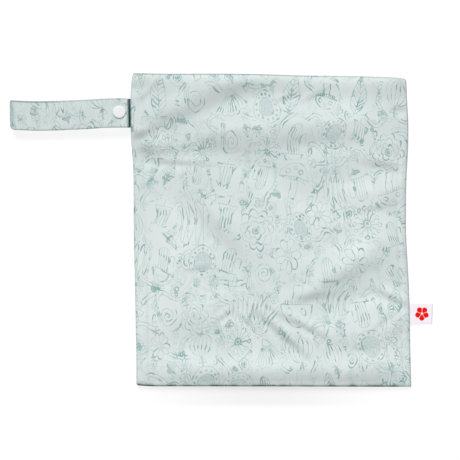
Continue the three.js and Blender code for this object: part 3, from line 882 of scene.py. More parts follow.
def cactus(x, y, r, a):
    """Ribbed column with a round head and a side arm."""
    far = length(x, most(y - 0.35, 0))
    arm = most(abs(length(x - 0.62, most(y - 0.1, 0)) - 0.17), 0 - (y + 0.3))
    body = least(abs(far - 0.36), most(abs(centred(x, 0.18)), far - 0.3), arm)
    tub = least(most(abs(y + 0.72), abs(x) - 0.6), most(abs(abs(x) - 0.5), abs(y + 0.86) - 0.13))
    return least(most(body, 0 - (y + 0.72)), tub)


BIG_DOODLES = (
    daisy, reeds, dahlia, bell, leaf, mushroom, cactus, fiddlehead, fan, pod, fern, rosette, seed_head, reeds,
)


def dial(x, y, r, a):
    return least(abs(r - 0.85), abs(r - 0.42), r - 0.13)


def bud(x, y, r, a):
    across = abs(x)
    low = y + 0.4
    wall = most(abs(across - (low * low * 0.2 + 0.34)), abs(y) - 0.4)
    mouth = most(abs(y - 0.52 - abs(combine("SINE", x * 6)) * 0.22), across - 0.5)
    return least(wall, mouth, most(abs(y + 0.4), across - 0.34), most(across, abs(y + 0.68) - 0.26))


def sprig(x, y, r, a):
    """Stem with three pairs of oval leaves."""
    across = abs(x)
    oval = length((across - 0.36) * 0.75, centred(y - across * 0.5, 0.6)) - 0.2
    return most(least(abs(oval), across), abs(y) - 0.9)


def loops(x, y, r, a):
    return least(abs(length(abs(x) - 0.4, y) - 0.34), abs(length(x, abs(y) - 0.62) - 0.2))


MIDDLE_DOODLES = (dial, bud, sprig, berries, small_leaf, loops)


def ring_and_dot(x, y, r, a):
    return least(abs(r - 0.75), r - 0.2)


def grains(x, y, r, a):
    return least(dots(r, a, 5, 0.6, 0.14), r - 0.16)


def star(x, y, r, a):
    return most(rays(r, a, 6), r - 0.85)


def arches(x, y, r, a):
    return most(abs(centred(r, 0.5)), 0 - (y + 0.3))


SMALL_DOODLES = (ring_and_dot, small_leaf, grains, star, arches)


def cells(x, y, cell, shift, randomness):
    """Scattered circles that just don't meet: place in cells from the circle's middle, its radius and three
    random numbers for each circle."""
    tree = x.tree
    place = plane_vector(x / cell + shift, y / cell + shift)

    def voronoi(feature):
        node = add_node(tree, "ShaderNodeTexVoronoi", voronoi_dimensions="2D", feature=feature)
        tree.links.new(place, node.inputs["Vector"])
        node.inputs["Scale"].default_value = 1
        node.inputs["Randomness"].default_value = randomness
        return node

    nearest = voronoi("F1")
    offset = add_node(tree, "ShaderNodeVectorMath", operation="SUBTRACT")
    tree.links.new(place, offset.inputs[0])
    tree.links.new(nearest.outputs["Position"], offset.inputs[1])
    radius = Field(tree, voronoi("N_SPHERE_RADIUS").outputs["Radius"])
    return offset.outputs[0], radius, split(tree, nearest.outputs["Color"])


def doodle_layer(x, y, cell, shift, randomness, doodles, sway, gap, smallest):
    """One doodle in each cell's circle, unless its radius is below smallest: distance in mm to the nearest
    line, place from 0 in the circle's middle to 1 on its rim, and the doodle's number."""
    tree = x.tree
    offset, radius, (kind, turn, flip) = cells(x, y, cell, shift, randomness)
    rotate = add_node(tree, "ShaderNodeVectorRotate", rotation_type="Z_AXIS")
    tree.links.new(offset, rotate.inputs["Vector"])
    upside = combine("ROUND", flip) * math.pi
    feed(tree, [rotate.inputs["Angle"]], [(turn - 0.5) * sway + upside])
    radius = radius * gap
    local_x, local_y, _ = split(tree, rotate.outputs[0])
    local_x = local_x / radius
    local_y = local_y / radius
    r = length(local_x, local_y)
    a = combine("ARCTAN2", local_y, local_x)
    number = combine("FLOOR", kind * (len(doodles) - 0.001))
    nearest = None
    for k, doodle in enumerate(doodles):
        other = abs(number - k) * FAR + doodle(local_x, local_y, r, a)
        nearest = other if nearest is None else least(nearest, other)
    radius = radius * cell
    return most(nearest, r - 1) * radius + fade(radius, smallest, smallest + 0.2, FAR, 0.0), r, number


def ink(distance, half):
    """1 on a line and 0 off it, with a soft edge."""
    return fade(distance, half * 0.45, half * 1.55, 1.0, 0.0)


def tendrils(x, y, size, shift):
    """Distances in mm, with a sign, to three sets of long winding lines about size apart."""
    step = 0.4
    here = noise(x, y, size, shift=shift)
    right = noise(x + step, y, size, shift=shift)
    up = noise(x, y + step, size, shift=shift)
    slopes = [length(b - a, c - a) / step for a, b, c in zip(here, right, up)]
    return [(value - 0.5) / most(slope, 0.004) for value, slope in zip(here, slopes)]


def print_ink(x, y):
    """How much ink lies at a point of the flat cloth, and how dark it is. x and y are in mm."""
    wide, slow, _ = noise(x, y, 26.0)
    quick, jitter, _ = noise(x, y, 5.0, shift=40.0)
    x = x + (wide - 0.5) * SLOW_SWAY + (quick - 0.5) * QUICK_SWAY
    y = y + (slow - 0.5) * SLOW_SWAY + (jitter - 0.5) * QUICK_SWAY
    accent, stroke, _ = noise(x, y, ACCENT_SIZE, shift=90.0)
    weight, patchy, shaded = noise(x, y, 15.0, shift=140.0)
    strong = fade(accent, 0.585, 0.62)
    half = strong * ACCENT_HALF + stroke * STROKE_HALF + LINE_HALF
    tall = y * UPRIGHT
    big, big_r, number = doodle_layer(x, tall, BIG_CELL, 3.3, 0.5, BIG_DOODLES, 0.9, 1.08, 8.0)
    middle, middle_r, _ = doodle_layer(x, tall, MIDDLE_CELL, 5.1, 0.7, MIDDLE_DOODLES, 1.6, 1.0, 4.0)
    small, _, _ = doodle_layer(x, y, SMALL_CELL, 7.9, 0.7, SMALL_DOODLES, 6.0, 0.9, 2.2)
    behind = fade(big_r, 0.98, 1.02, FAR, 0.0)
    far_behind = fade(middle_r, 0.95, 1.05, FAR, 0.0)
    stem, loop, edge = tendrils(x, tall, TENDRIL_SPACING, 61.0)
    double = abs(abs(stem) - TENDRIL_HALF)
    beads = abs(length(abs(loop) - 1.4, centred(y, 2.8)) - 0.7)
    beads = beads + fade(patchy, 0.5, 0.54, FAR, 0.0)
    hatch = abs(centred(x + (wide - 0.5) * 8, HATCH_SPACING)) + fade(shaded, 0.53, 0.57, FAR, 0.0) + behind
    line = least(big, middle + behind, double + behind)
    thin = least(small + behind + far_behind, beads + behind, abs(edge) + behind * 0.1)
    lines = ink(line, half) * (weight * 0.6 + 0.5)
    lines = most(lines, ink(thin, LINE_HALF) * (patchy * 0.5 + 0.4))
    lines = most(lines, ink(hatch, LINE_HALF) * fade(shaded, 0.53, 0.62, 0.0, HATCH_TONE))
    patch = fade(big_r, 0.5, 0.56, 1.0, 0.0) * combine("COMPARE", number, BIG_DOODLES.index(rosette), 0.5)
    speckle, blot, _ = noise(x, y, 1.6, shift=20.0)
    tone = patch * (speckle * 0.8 + 0.05)
    wash = fade(patchy + blot * 0.12, 0.52, 0.68, 0.0, WASH_TONE)
    return most(lines, tone, wash), strong * ink(line, half)


def new_material(name, roughness, **levels):
    """Material whose shader has the given plain levels, its tree and that shader."""
    material = bpy.data.materials.new(name)
    material.use_nodes = True
    shader = material.node_tree.nodes["Principled BSDF"]
    shader.inputs["Roughness"].default_value = roughness
    for socket, value in levels.items():
        shader.inputs[socket.replace("_", " ")].default_value = value
    return material, material.node_tree, shader


def mix_color(tree, share, low, high):
    """Colour from low to high by share, where each is a colour or another mix."""
    node = add_node(tree, "ShaderNodeMix", data_type="RGBA")
    feed(tree, [node.inputs["Factor"]], [share])
    sockets = [s for s in node.inputs if s.type == "RGBA"]
    for socket, value in zip(sockets, (low, high)):
        if isinstance(value, tuple):
            socket.default_value = (*value, 1)
        else:
            tree.links.new(value, socket)
    return next(s for s in node.outputs if s.type == "RGBA")


def add_bump(tree, shader, height, depth, strength):
    """Relief of depth metres where height goes from 0 to 1."""
    node = add_node(tree, "ShaderNodeBump")
    node.inputs["Distance"].default_value = depth
    node.inputs["Strength"].default_value = strength
    feed(tree, [node.inputs["Height"]], [height])
    tree.links.new(node.outputs["Normal"], shader.inputs["Normal"])


def own_place(tree):
    """Place in the object's own frame, in metres."""
    return split(tree, add_node(tree, "ShaderNodeTexCoord").outputs["Object"])


def flat_millimetres(tree):
    """Place on the flat cloth, in mm."""
    attribute = add_node(tree, "ShaderNodeAttribute", attribute_name="flat_place")
    x, y, _ = split(tree, attribute.outputs["Vector"])
    return x * 1000, y * 1000


# Colours of the cloth: its ground in two tones, its ink in two, and the colour of the painted shade at its
# edges, seam lines, strap crevice and upper left
GROUND = (0.70, 0.765, 0.745)
GROUND_SHADE = (0.64, 0.71, 0.70)
INK = (0.28, 0.455, 0.45)
DARK_INK = (0.05, 0.24, 0.24)
PAINTED_SHADE_COLOR = (0.014, 0.09, 0.085)
# Sizes in mm: the ground's mottle and its streaks, and a stitch of the knit
MOTTLE_SIZE = 70.0
STREAK_SIZE = 30.0
STITCH_WIDTH = 0.55
STITCH_HEIGHT = 0.4
KNIT_DEPTH = 0.00005


def cloth_material():
    material, tree, shader = new_material("printed_cloth", 0.72, Sheen_Weight=0.12, Sheen_Roughness=0.45)
    x, y = flat_millimetres(tree)
    amount, dark = print_ink(x, y)
    mottle = noise(x, y, MOTTLE_SIZE, detail=1.0)[0]
    streak = noise(x * 14, y * 0.4, STREAK_SIZE, detail=1.0)[1]
    ground = mix_color(tree, fade(mottle * 0.8 + streak * 0.2, 0.3, 0.7), GROUND, GROUND_SHADE)
    ink_color = mix_color(tree, dark, INK, DARK_INK)
    color = mix_color(tree, amount * PRINT_STRENGTH, ground, ink_color)
    # Painted shade: each point's edge_shade value darkens the colour towards the shade colour
    depth = add_node(tree, "ShaderNodeAttribute", attribute_name="edge_shade")
    color = mix_color(tree, Field(tree, depth.outputs["Fac"]), color, PAINTED_SHADE_COLOR)
    tree.links.new(color, shader.inputs["Base Color"])
    rib = combine("SINE", x * (2 * math.pi / STITCH_WIDTH))
    row = combine("SINE", y * (2 * math.pi / STITCH_HEIGHT) + rib * 0.8)
    add_bump(tree, shader, rib * 0.3 + row * 0.2 + 0.5, KNIT_DEPTH, 0.5)
    return material


def snap_material():
    material, tree, shader = new_material("snap_resin", 0.34, Specular_IOR_Level=0.5)
    x, y, _ = own_place(tree)
    grain = noise(x * 1000, y * 1000, 1.3, detail=2.0)[0]
    color = mix_color(tree, grain, (0.86, 0.87, 0.87), (0.82, 0.835, 0.84))
    tree.links.new(color, shader.inputs["Base Color"])
    feed(tree, [shader.inputs["Roughness"]], [grain * 0.12 + 0.3])
    add_bump(tree, shader, grain, 0.00003, 0.6)
    return material


# Woven blossom on the label, in mm from the label's seam end and its middle line
BLOSSOM_PLACE = (12.6, -0.2)
BLOSSOM_RADIUS = 7.0
# Spacing of the label's threads, in mm
WARP_SPACING = 0.34
WEFT_SPACING = 0.26


def label_material():
    material, tree, shader = new_material("label_weave", 0.6, Specular_IOR_Level=0.12)
    x, y = flat_millimetres(tree)
    local_x = (x - BLOSSOM_PLACE[0]) / BLOSSOM_RADIUS
    local_y = (y - BLOSSOM_PLACE[1]) / BLOSSOM_RADIUS
    r = length(local_x, local_y)
    a = combine("ARCTAN2", local_y, local_x) + math.pi / 10
    petals = abs(combine("COSINE", a * 2.5)) * 0.3 + 0.72
    soft = 0.05
    flower = fade(r - petals, -soft, soft, 1.0, 0.0) * fade(r, 0.17 - soft, 0.17 + soft)
    creases = most(rays(r, a + math.pi / 5, 5), 0.3 - r, r - 0.72)
    flower = flower * fade(creases, 0.01, 0.05)
    warp = combine("SINE", x * (2 * math.pi / WARP_SPACING))
    weft = combine("SINE", y * (2 * math.pi / WEFT_SPACING) + warp)
    thread = warp * 0.25 + weft * 0.25 + 0.5
    white = mix_color(tree, thread, (0.89, 0.84, 0.92), (0.96, 0.93, 0.97))
    red = mix_color(tree, thread, (0.82, 0.003, 0.0005), (0.90, 0.005, 0.0005))
    # Painted shade on the white where the ribbon turns over at its fold
    turned = fade(x, LABEL_WIDTH * 1000 - 1.6, LABEL_WIDTH * 1000 - 0.6, 0.0, 0.45)
    white = mix_color(tree, turned, white, (0.55, 0.51, 0.6))
    tree.links.new(mix_color(tree, flower, white, red), shader.inputs["Base Color"])
    add_bump(tree, shader, thread, 0.00006, 0.6)
    return material


def tape_material():
    material, tree, shader = new_material("zip_tape", 0.7, Sheen_Weight=0.1)
    x, y = flat_millimetres(tree)
    twill = combine("SINE", (x + y) * (2 * math.pi / 0.7))
    rib = combine("SINE", (x - y) * (2 * math.pi / 0.45))
    thread = twill * 0.3 + rib * 0.2 + 0.5
    color = mix_color(tree, thread, (0.5, 0.6, 0.59), (0.58, 0.68, 0.67))
    tree.links.new(color, shader.inputs["Base Color"])
    add_bump(tree, shader, thread, 0.0001, 0.7)
    return material


def hard_material(name, low, high, roughness):
    """Moulded or painted surface with a little unevenness."""
    material, tree, shader = new_material(name, roughness)
    x, y, z = own_place(tree)
    grain = noise(x * 1000, (y + z) * 1000, 0.9, detail=2.0)[0]
    tree.links.new(mix_color(tree, grain, low, high), shader.inputs["Base Color"])
    feed(tree, [shader.inputs["Roughness"]], [grain * 0.2 + roughness - 0.1])
    add_bump(tree, shader, grain, 0.00003, 0.5)
    return material


printed_cloth = cloth_material()
snap_resin = snap_material()
label_weave = label_material()
zip_tape = tape_material()
zip_coil = hard_material("zip_coil", (0.46, 0.55, 0.54), (0.54, 0.63, 0.62), 0.4)
zip_metal = hard_material("zip_slider", (0.5, 0.58, 0.57), (0.58, 0.66, 0.65), 0.3)


def make_front():
    piece = wall_between(
        "front_cloth",
        grid_shares(BAG_WIDTH, RIM_REACH, FRONT_SPACING),
        grid_shares(BAG_HEIGHT, RIM_REACH, FRONT_SPACING),
        lambda u, v: front_point(u, v, False),
        lambda u, v: front_point(u, v, True),
        FRONT_PRINT,
        edge_shade,
    )
    finish_piece(piece, printed_cloth, "printed_cloth", "front_panel")
    hems = [
        make_allowance("left_turned_edge", 0, ALLOWANCE_LEFT, "seam_allowance_left"),
        make_allowance("right_turned_edge", 1, ALLOWANCE_RIGHT, "seam_allowance_right"),
    ]


def make_back():
    piece = wall_between(
        "back_cloth",
        grid_shares(BAG_WIDTH, INNER_ROUND, BACK_SPACING),
        grid_shares(BAG_HEIGHT, INNER_ROUND, BACK_SPACING),
        lambda u, v: back_point(u, v, True),
        lambda u, v: back_point(u, v, False),
        BACK_PRINT,
        no_shade,
    )
    finish_piece(piece, printed_cloth, "printed_cloth", "back_panel")


def strap_line():
    """Middle line of the strap in its own frame: x from the bag's edge, and its height."""
    lower_seat = SEAT + STRAP_WALL / 2
    lower_floor = STRAP_WALL / 2
    upper_snap = lower_seat + STRAP_WALL + SNAP_STACK
    fold_x = -STRAP_REACH + STRAP_WALL / 2 + STRAP_FOLD_RADIUS
    level = SNAP_X - SNAP_DIAMETER
    end = STRAP_WALL / 2 * (1 - np.cos(np.linspace(0, math.pi / 2, 6)))
    start = STRAP_SEWN - end
    inside = np.linspace(start[-1], level, 22)[1:]
    slope = np.linspace(0, 1, 20)[1:]
    floor_run = np.linspace(2 * level, fold_x, 48)[1:-1]
    bend = np.linspace(0, math.pi, 26)
    upper_fold = lower_floor + 2 * STRAP_FOLD_RADIUS
    share = np.linspace(0, 1, 62)[1:]
    sag = STRAP_SAG * np.sin(math.pi * share) ** 2
    rise = upper_fold + (upper_snap - upper_fold) * smooth(share, 0, 1) - sag
    over = np.linspace(level, -STRAP_END_GAP - STRAP_WALL / 2, 16)[1:]
    tip = (-STRAP_END_GAP - end)[::-1][1:]
    x = np.concatenate([
        start, inside, level * (1 + slope), floor_run, fold_x - STRAP_FOLD_RADIUS * np.sin(bend),
        fold_x + (level - fold_x) * share, over, tip,
    ])
    z = np.concatenate([
        np.full(len(start) + len(inside), lower_seat),
        lower_seat + (lower_floor - lower_seat) * smooth(slope, 0, 1),
        np.full(len(floor_run), lower_floor),
        lower_floor + STRAP_FOLD_RADIUS * (1 - np.cos(bend)),
        rise,
        np.full(len(over) + len(tip), upper_snap),
    ])
    return np.stack([x, z], 1)


def make_strap():
    line = strap_line()
    along = arc_lengths(line)
    half = STRAP_WIDTH / 2
    from_fold = line[:, 0] + STRAP_REACH - STRAP_WALL / 2
    from_tip = along[-1] - along
    high = half - round_in(STRAP_CORNER_TOP, from_fold) - round_in(STRAP_END_CORNER, from_tip)
    low = -half + round_in(STRAP_CORNER_BOTTOM, from_fold) + round_in(0.3 * STRAP_END_CORNER, from_tip)
    fold_at = along[np.argmin(line[:, 0])]

    def relief(s, y):
        """Waves of the upper layer, which is pressed down round the snap's cap."""
        upper = smooth(s, fold_at + 0.002, fold_at + 0.012)
        wave = 0.0002 * lattice_noise(s + 0.0 * y, y * 0.5, 0.017, 21)
        wave = wave + 0.00009 * lattice_noise(s + 0.3 * y, y, 0.006, 23)
        from_snap = np.hypot(s - (along[-1] - SNAP_INSET), y - SNAP_OFFSET)
        pressed = smooth(from_snap, 0.45 * SNAP_DIAMETER, SNAP_DIAMETER)
        to_edge = np.minimum(half - np.abs(y), 0.004) / 0.004
        crown = 0.00025 * np.maximum(to_edge, 0) ** 0.5
        return upper * (wave + crown) * pressed

    points, faces, flat = band(line, STRAP_WALL, low, high, relief)
    s, y = flat.T
    # Painted shade of the strap: a dark line along its upper edge, its fold and its tip, the crevice under
    # its free end, and a little all over
    upper = smooth(s, fold_at - 0.004, fold_at)
    fold_end = np.maximum(points[:, 0] + STRAP_REACH, 0)
    edges = near(half - y) * (STRAP_EDGE_SHADE - STRAP_EDGE_DROP * smooth(fold_end, 0.04, 0.06))
    turn = STRAP_FOLD_SHADE * (1 - smooth(fold_end, 0, 0.008))
    tip = STRAP_TIP_SHADE * near(along[-1] - s)
    gap = plateau(points[:, 0] + STRAP_END_GAP / 2, STRAP_END_GAP, 0.002) * (1 - upper)
    shade = np.maximum.reduce([edges * upper, turn, tip, gap, np.full_like(gap, STRAP_SHADE)])
    points[:, 1] += STRAP_BOW * table_at(STRAP_BOWS, 1, np.clip(-points[:, 0] / STRAP_REACH, 0, 1))
    points = placed(points, plan_place(0, STRAP_UP), STRAP_TURN)
    piece = mesh_object("strap_band", points, faces, flat + STRAP_PRINT, sharp=60, shade=shade)
    finish_piece(piece, printed_cloth, "printed_cloth", "strap")


def turned(name, profile, node):
    """Round snap part about the snap's axis, from pairs of radius and height."""
    sides = 64
    profile = np.asarray(profile, float)
    turns = np.linspace(0, 2 * math.pi, sides, endpoint=False)
    points = []
    rings = []
    for radius, height in profile:
        if radius < 1e-7:
            rings.append([len(points)] * sides)
            points.append((0, 0, height))
        else:
            rings.append(list(range(len(points), len(points) + sides)))
            points.extend((radius * math.cos(t), radius * math.sin(t), height) for t in turns)
    pairs = list(zip(rings, rings[1:]))
    if profile[0, 0] >= 1e-7:
        pairs.append((rings[-1], rings[0]))
    faces = []
    for below, above in pairs:
        for k in range(sides):
            after = (k + 1) % sides
            corners = [below[k], below[after], above[after], above[k]]
            faces.append(tuple(dict.fromkeys(corners)))
    points = np.array(points, float) + (SNAP_X, SNAP_OFFSET, 0)
    points = placed(points, plan_place(0, STRAP_UP), STRAP_TURN)
    piece = mesh_object(name, points, faces, sharp=35)
    finish_piece(piece, snap_resin, "snap_resin", node)


def corner_arc(radius, height, size, start, steps=5):
    """Quarter round of a profile about its middle, from a start angle in degrees, counter-clockwise."""
    turns = np.radians(start + np.linspace(0, 90, steps))
    return [(radius + size * math.cos(t), height + size * math.sin(t)) for t in turns]


def make_snap():
    cap = SNAP_DIAMETER / 2
    post = POST_DIAMETER / 2
    bore = post + FIT_GAP
    lower_top = SEAT + STRAP_WALL
    flange_low = lower_top + FIT_GAP
    flange_top = flange_low + FLANGE_WALL
    stud_top = flange_top + STUD_HEIGHT
    socket_low = flange_top + FIT_GAP
    web_low = stud_top + FIT_GAP
    web_top = web_low + WEB_WALL
    cap_low = lower_top + SNAP_STACK + STRAP_WALL + FIT_GAP
    cap_top = cap_low + CAP_WALL
    stud = STUD_DIAMETER / 2
    flange = FLANGE_DIAMETER / 2
    socket = SOCKET_DIAMETER / 2
    edge = 0.0003
    brow = 0.0005
    turned("snap_front_cap", [
        (0, web_low + FIT_GAP), (post, web_low + FIT_GAP), (post, cap_low),
        *corner_arc(cap - edge, cap_low + edge, edge, -90),
        *corner_arc(cap - brow, cap_top - 0.00025 - brow, brow, 0),
        (cap * 0.6, cap_top - 0.00008), (cap * 0.3, cap_top - 0.00002), (0, cap_top),
    ], "snap_cap_front")
    turned("snap_ring", [
        (bore, web_low), (stud + FIT_GAP, web_low), (stud + FIT_GAP, socket_low),
        *corner_arc(socket - edge, socket_low + edge, edge, -90),
        *corner_arc(socket - edge, web_top - edge, edge, 0),
        (bore, web_top),
    ], "snap_socket")
    turned("snap_stud_ring", [
        (bore, flange_low), *corner_arc(flange - edge, flange_low + edge, edge, -90),
        *corner_arc(flange - edge, flange_top - edge, edge, 0), (stud * 0.92, flange_top),
        (stud, stud_top - edge), (stud - edge, stud_top), (bore, stud_top),
    ], "snap_stud")
    turned("snap_back_cap", [
        (0, 0), *corner_arc(cap - edge, edge, edge, -90), *corner_arc(cap - edge, CAP_WALL - edge, edge, 0),
        (post, CAP_WALL), (post, stud_top - FIT_GAP), (0, stud_top - FIT_GAP),
    ], "snap_cap_back")


def make_label():
    """Label of one folded strip of ribbon: out over the top, round the fold and back below."""
    bend_radius = (LABEL_WALL - LABEL_PLY) / 2
    share = np.linspace(0, 1, 30)
    droop = (SEAT + LABEL_WALL / 2) + (LABEL_WALL / 2 - SEAT - LABEL_WALL / 2) * smooth(share, 0.05, 0.95)
    fold_x = LABEL_WIDTH - bend_radius - LABEL_PLY / 2
    reach = share * fold_x
    sewn = np.linspace(-LABEL_SEWN, 0, 5)[:-1]
    bend = np.linspace(0, math.pi, 12)[1:-1]
    seat = np.full(len(sewn), SEAT + LABEL_WALL / 2)
    end = LABEL_WALL / 2
    x = np.concatenate([
        sewn, reach, fold_x + bend_radius * np.sin(bend), reach[::-1], sewn[::-1],
    ])
    z = np.concatenate([
        seat + bend_radius, droop + bend_radius, end + bend_radius * np.cos(bend), droop[::-1] - bend_radius,
        seat - bend_radius,
    ])
    line = np.stack([x, z], 1)[::-1]
    along = arc_lengths(line)
    half = LABEL_HEIGHT / 2
    narrower = 0.0002 * np.clip(line[:, 0] / LABEL_WIDTH, 0, 1)

    def relief(s, y):
        return 0.00005 * lattice_noise(s + 0 * y, y, 0.006, 31) * (s > along[-1] / 2)

    low = -half + narrower
    high = half - narrower
    points, faces, flat = band(line, LABEL_PLY, low, high, relief, across=26, rim_steps=3)
    points = placed(points, plan_place(1, LABEL_UP), LABEL_TURN)
    # The upper ply's flat places count from the seam outwards
    flat[:, 0] = along[-1] - flat[:, 0] - LABEL_SEWN
    piece = mesh_object("label_ribbon", points, faces, flat, sharp=60)
    finish_piece(piece, label_weave, "label_weave", "side_label")


def make_allowance(name, edge, width, node):
    """Turned-in cloth inside one side seam, cut back where the strap or the label is sewn in."""
    guest, half, deep = (
        (STRAP_UP, STRAP_WIDTH / 2, STRAP_SEWN) if edge == 0 else (LABEL_UP, LABEL_HEIGHT / 2, LABEL_SEWN)
    )
    heights = np.arange(ALLOWANCE_END_GAP, BAG_HEIGHT - ALLOWANCE_END_GAP, 0.002)
    notch = plateau(heights - guest * BAG_HEIGHT, half + SEAM_MARGIN, 0.001)
    outer = RIM_REACH + (deep + SEAM_MARGIN - RIM_REACH) * notch
    inner = width + 0.00025 * lattice_noise(heights, heights, 0.009, 41)
    inwards = 1 if edge == 0 else -1
    middle = SEAT + ALLOWANCE_WALL / 2
    edge_x, edge_y = plan_point(np.full_like(heights, edge), heights / BAG_HEIGHT)
    line = np.stack([edge_y, np.full_like(edge_y, middle)], 1)
    points, faces, flat = band(line, ALLOWANCE_WALL, outer, inner, lambda s, y: 0 * y, across=8, rim_steps=3)
    per_ring = len(points) // len(heights)
    along_edge = points[:, 0].copy()
    points[:, 0] = np.repeat(edge_x, per_ring) + inwards * points[:, 1]
    points[:, 1] = along_edge
    if inwards > 0:
        faces = [face[::-1] for face in faces]
    piece = mesh_object(name, points, faces, flat + TURNED_EDGE_PRINT, sharp=60)
    return finish_piece(piece, printed_cloth, "printed_cloth", node)


def zip_placed(points):
    """Points from the zip's own frame: its origin is the middle of the mouth, its y negative inside."""
    left = plan_place(0, 1)
    right = plan_place(1, 1)
    turn = math.atan2(right[1] - left[1], right[0] - left[0])
    return placed(points, (0, (left[1] + right[1]) / 2), turn)


def make_tape(name, side):
    """One zip tape: flat where it is sewn to its lip, then bent over to its half of the chain."""
    flat_z = SEAT + TAPE_WALL / 2
    chain_z = LIP_MIDDLE - CHAIN_HEIGHT / 2 + TAPE_PLY / 2
    tape_end = ZIP_RECESS + CHAIN_DEPTH + TAPE_WIDTH
    share = np.linspace(0, 1, 24)
    depth = tape_end + (ZIP_RECESS + TAPE_NOSE - tape_end) * share
    height = flat_z + (chain_z - flat_z) * smooth(depth, ZIP_RECESS + CHAIN_DEPTH, ZIP_RECESS + TAPE_NOSE)
    height = LIP_MIDDLE + side * (LIP_MIDDLE - height)
    line = np.stack([-depth, height], 1)
    half = np.full(len(line), ZIP_LENGTH / 2)

    def relief(s, x):
        return 0.00006 * lattice_noise(x, s + 0 * x, 0.012, 61)

    points, faces, flat = band(line, TAPE_PLY, -half, half, relief, across=160, rim_steps=3)
    points = zip_placed(points[:, [1, 0, 2]])
    faces = [face[::-1] for face in faces]
    piece = mesh_object(name, points, faces, flat, sharp=60)
    finish_piece(piece, zip_tape, "zip", "zip_closure")


def make_coil(name, side):
    """One half of the zip chain: a flat-wound wire."""
    steps = 14
    corners = 6
    turns = int(ZIP_LENGTH / COIL_PITCH)
    count = turns * steps + 1
    angle = np.linspace(0, 2 * math.pi * turns, count) + (0 if side > 0 else math.pi)
    x = np.linspace(-ZIP_LENGTH / 2 + WIRE, ZIP_LENGTH / 2 - WIRE, count)
    deep = CHAIN_DEPTH / 2 - WIRE
    high = CHAIN_HEIGHT / 2 - COIL_SHIFT - WIRE
    y = -ZIP_RECESS - CHAIN_DEPTH / 2 + deep * np.cos(angle)
    z = LIP_MIDDLE + side * COIL_SHIFT + high * np.sin(angle)
    path = np.stack([x, y, z], 1)
    ahead = np.gradient(path, axis=0)
    ahead /= np.linalg.norm(ahead, axis=1)[:, None]
    # The wire's section is spanned by the direction along the zip and the one square to it
    beside = np.array([1.0, 0, 0]) - ahead * ahead[:, :1]
    beside /= np.linalg.norm(beside, axis=1)[:, None]
    above = np.cross(ahead, beside)
    round_turns = np.linspace(0, 2 * math.pi, corners, endpoint=False)
    points = np.concatenate([
        path[:, None] + WIRE * (math.cos(t) * beside + math.sin(t) * above)[:, None] for t in round_turns
    ], axis=1).reshape(-1, 3)
    faces = [face[::-1] for face in tube_faces(count, corners)]
    piece = mesh_object(name, zip_placed(points), faces)
    finish_piece(piece, zip_coil, "zip", "zip_closure")


def rounded_outline(long, wide, radius, steps=6):
    """Counter-clockwise outline of a plate with round corners."""
    outline = []
    for k, (sx, sy) in enumerate(((1, 1), (-1, 1), (-1, -1), (1, -1))):
        turns = np.radians(90 * k + np.linspace(0, 90, steps))
        middle = (sx * (long / 2 - radius), sy * (wide / 2 - radius))
        outline.extend((middle[0] + radius * math.cos(t), middle[1] + radius * math.sin(t)) for t in turns)
    return np.array(outline)


def plate(long, wide, radius, low, high, soft, slot=None):
    """Points and faces of a plate with round corners and softened edges, and maybe a slot.

    slot is the slot's length, width and the x of its middle.
    """
    levels = [(low, soft), (low + soft, 0), (high - soft, 0), (high, soft)]
    rings = []
    for z, inset in levels:
        outline = rounded_outline(long - 2 * inset, wide - 2 * inset, radius - inset)
        rings.append(np.column_stack([outline, np.full(len(outline), z)]))
    if slot:
        slot_long, slot_wide, slot_x = slot
        for z in (high, low):
            outline = rounded_outline(slot_long, slot_wide, slot_wide / 2 - 1e-5) + (slot_x, 0)
            rings.append(np.column_stack([outline, np.full(len(outline), z)]))
    size = len(rings[0])
    pairs = [(k, k + 1) for k in range(len(rings) - 1)]
    if slot:
        pairs.append((len(rings) - 1, 0))
    faces = []
    for below, above in pairs:
        for k in range(size):
            after = (k + 1) % size
            faces.append((below * size + k, below * size + after, above * size + after, above * size + k))
    if not slot:
        faces.append(tuple(range(size - 1, -1, -1)))
        faces.append(tuple(range((len(rings) - 1) * size, len(rings) * size)))
    return np.vstack(rings), faces


def make_slider():
    """Two plates over the chain, a bridge between them at the front, side flanges and a loop on top."""
    top = SEAT + SLIDER_HEIGHT
    chain_top = LIP_MIDDLE + CHAIN_HEIGHT / 2
    sheet = 0.0006
    parts = [
        (plate(SLIDER_LENGTH, SLIDER_DEPTH, 0.0028, SEAT, SEAT + sheet / 2, 0.00012), (0, 0)),
        (plate(SLIDER_LENGTH, SLIDER_DEPTH, 0.0028, chain_top, chain_top + sheet, 0.0002), (0, 0)),
        (plate(0.0022, 0.0016, 0.0007, SEAT, chain_top + sheet / 2, 0.0001), (SLIDER_LENGTH / 2 - 0.0014, 0)),
        (plate(0.005, 0.0012, 0.0005, chain_top + sheet / 2, top, 0.0002), (-0.001, 0)),
    ]
    for side in (-1, 1):
        shape = plate(0.006, 0.0005, 0.0002, SEAT + sheet / 4, chain_top + sheet / 2, 0.0001)
        parts.append((shape, (-0.0014, side * (SLIDER_DEPTH / 2 - 0.0003))))
    points = []
    faces = []
    count = 0
    for (part_points, part_faces), (shift_x, shift_y) in parts:
        points.append(part_points + (SLIDER_X + shift_x, SLIDER_Y + shift_y, 0))
        faces.extend(tuple(k + count for k in face) for face in part_faces)
        count += len(part_points)
    piece = mesh_object("zip_slider", zip_placed(np.vstack(points)), faces, sharp=40)
    finish_piece(piece, zip_metal, "zip", "zip_closure")


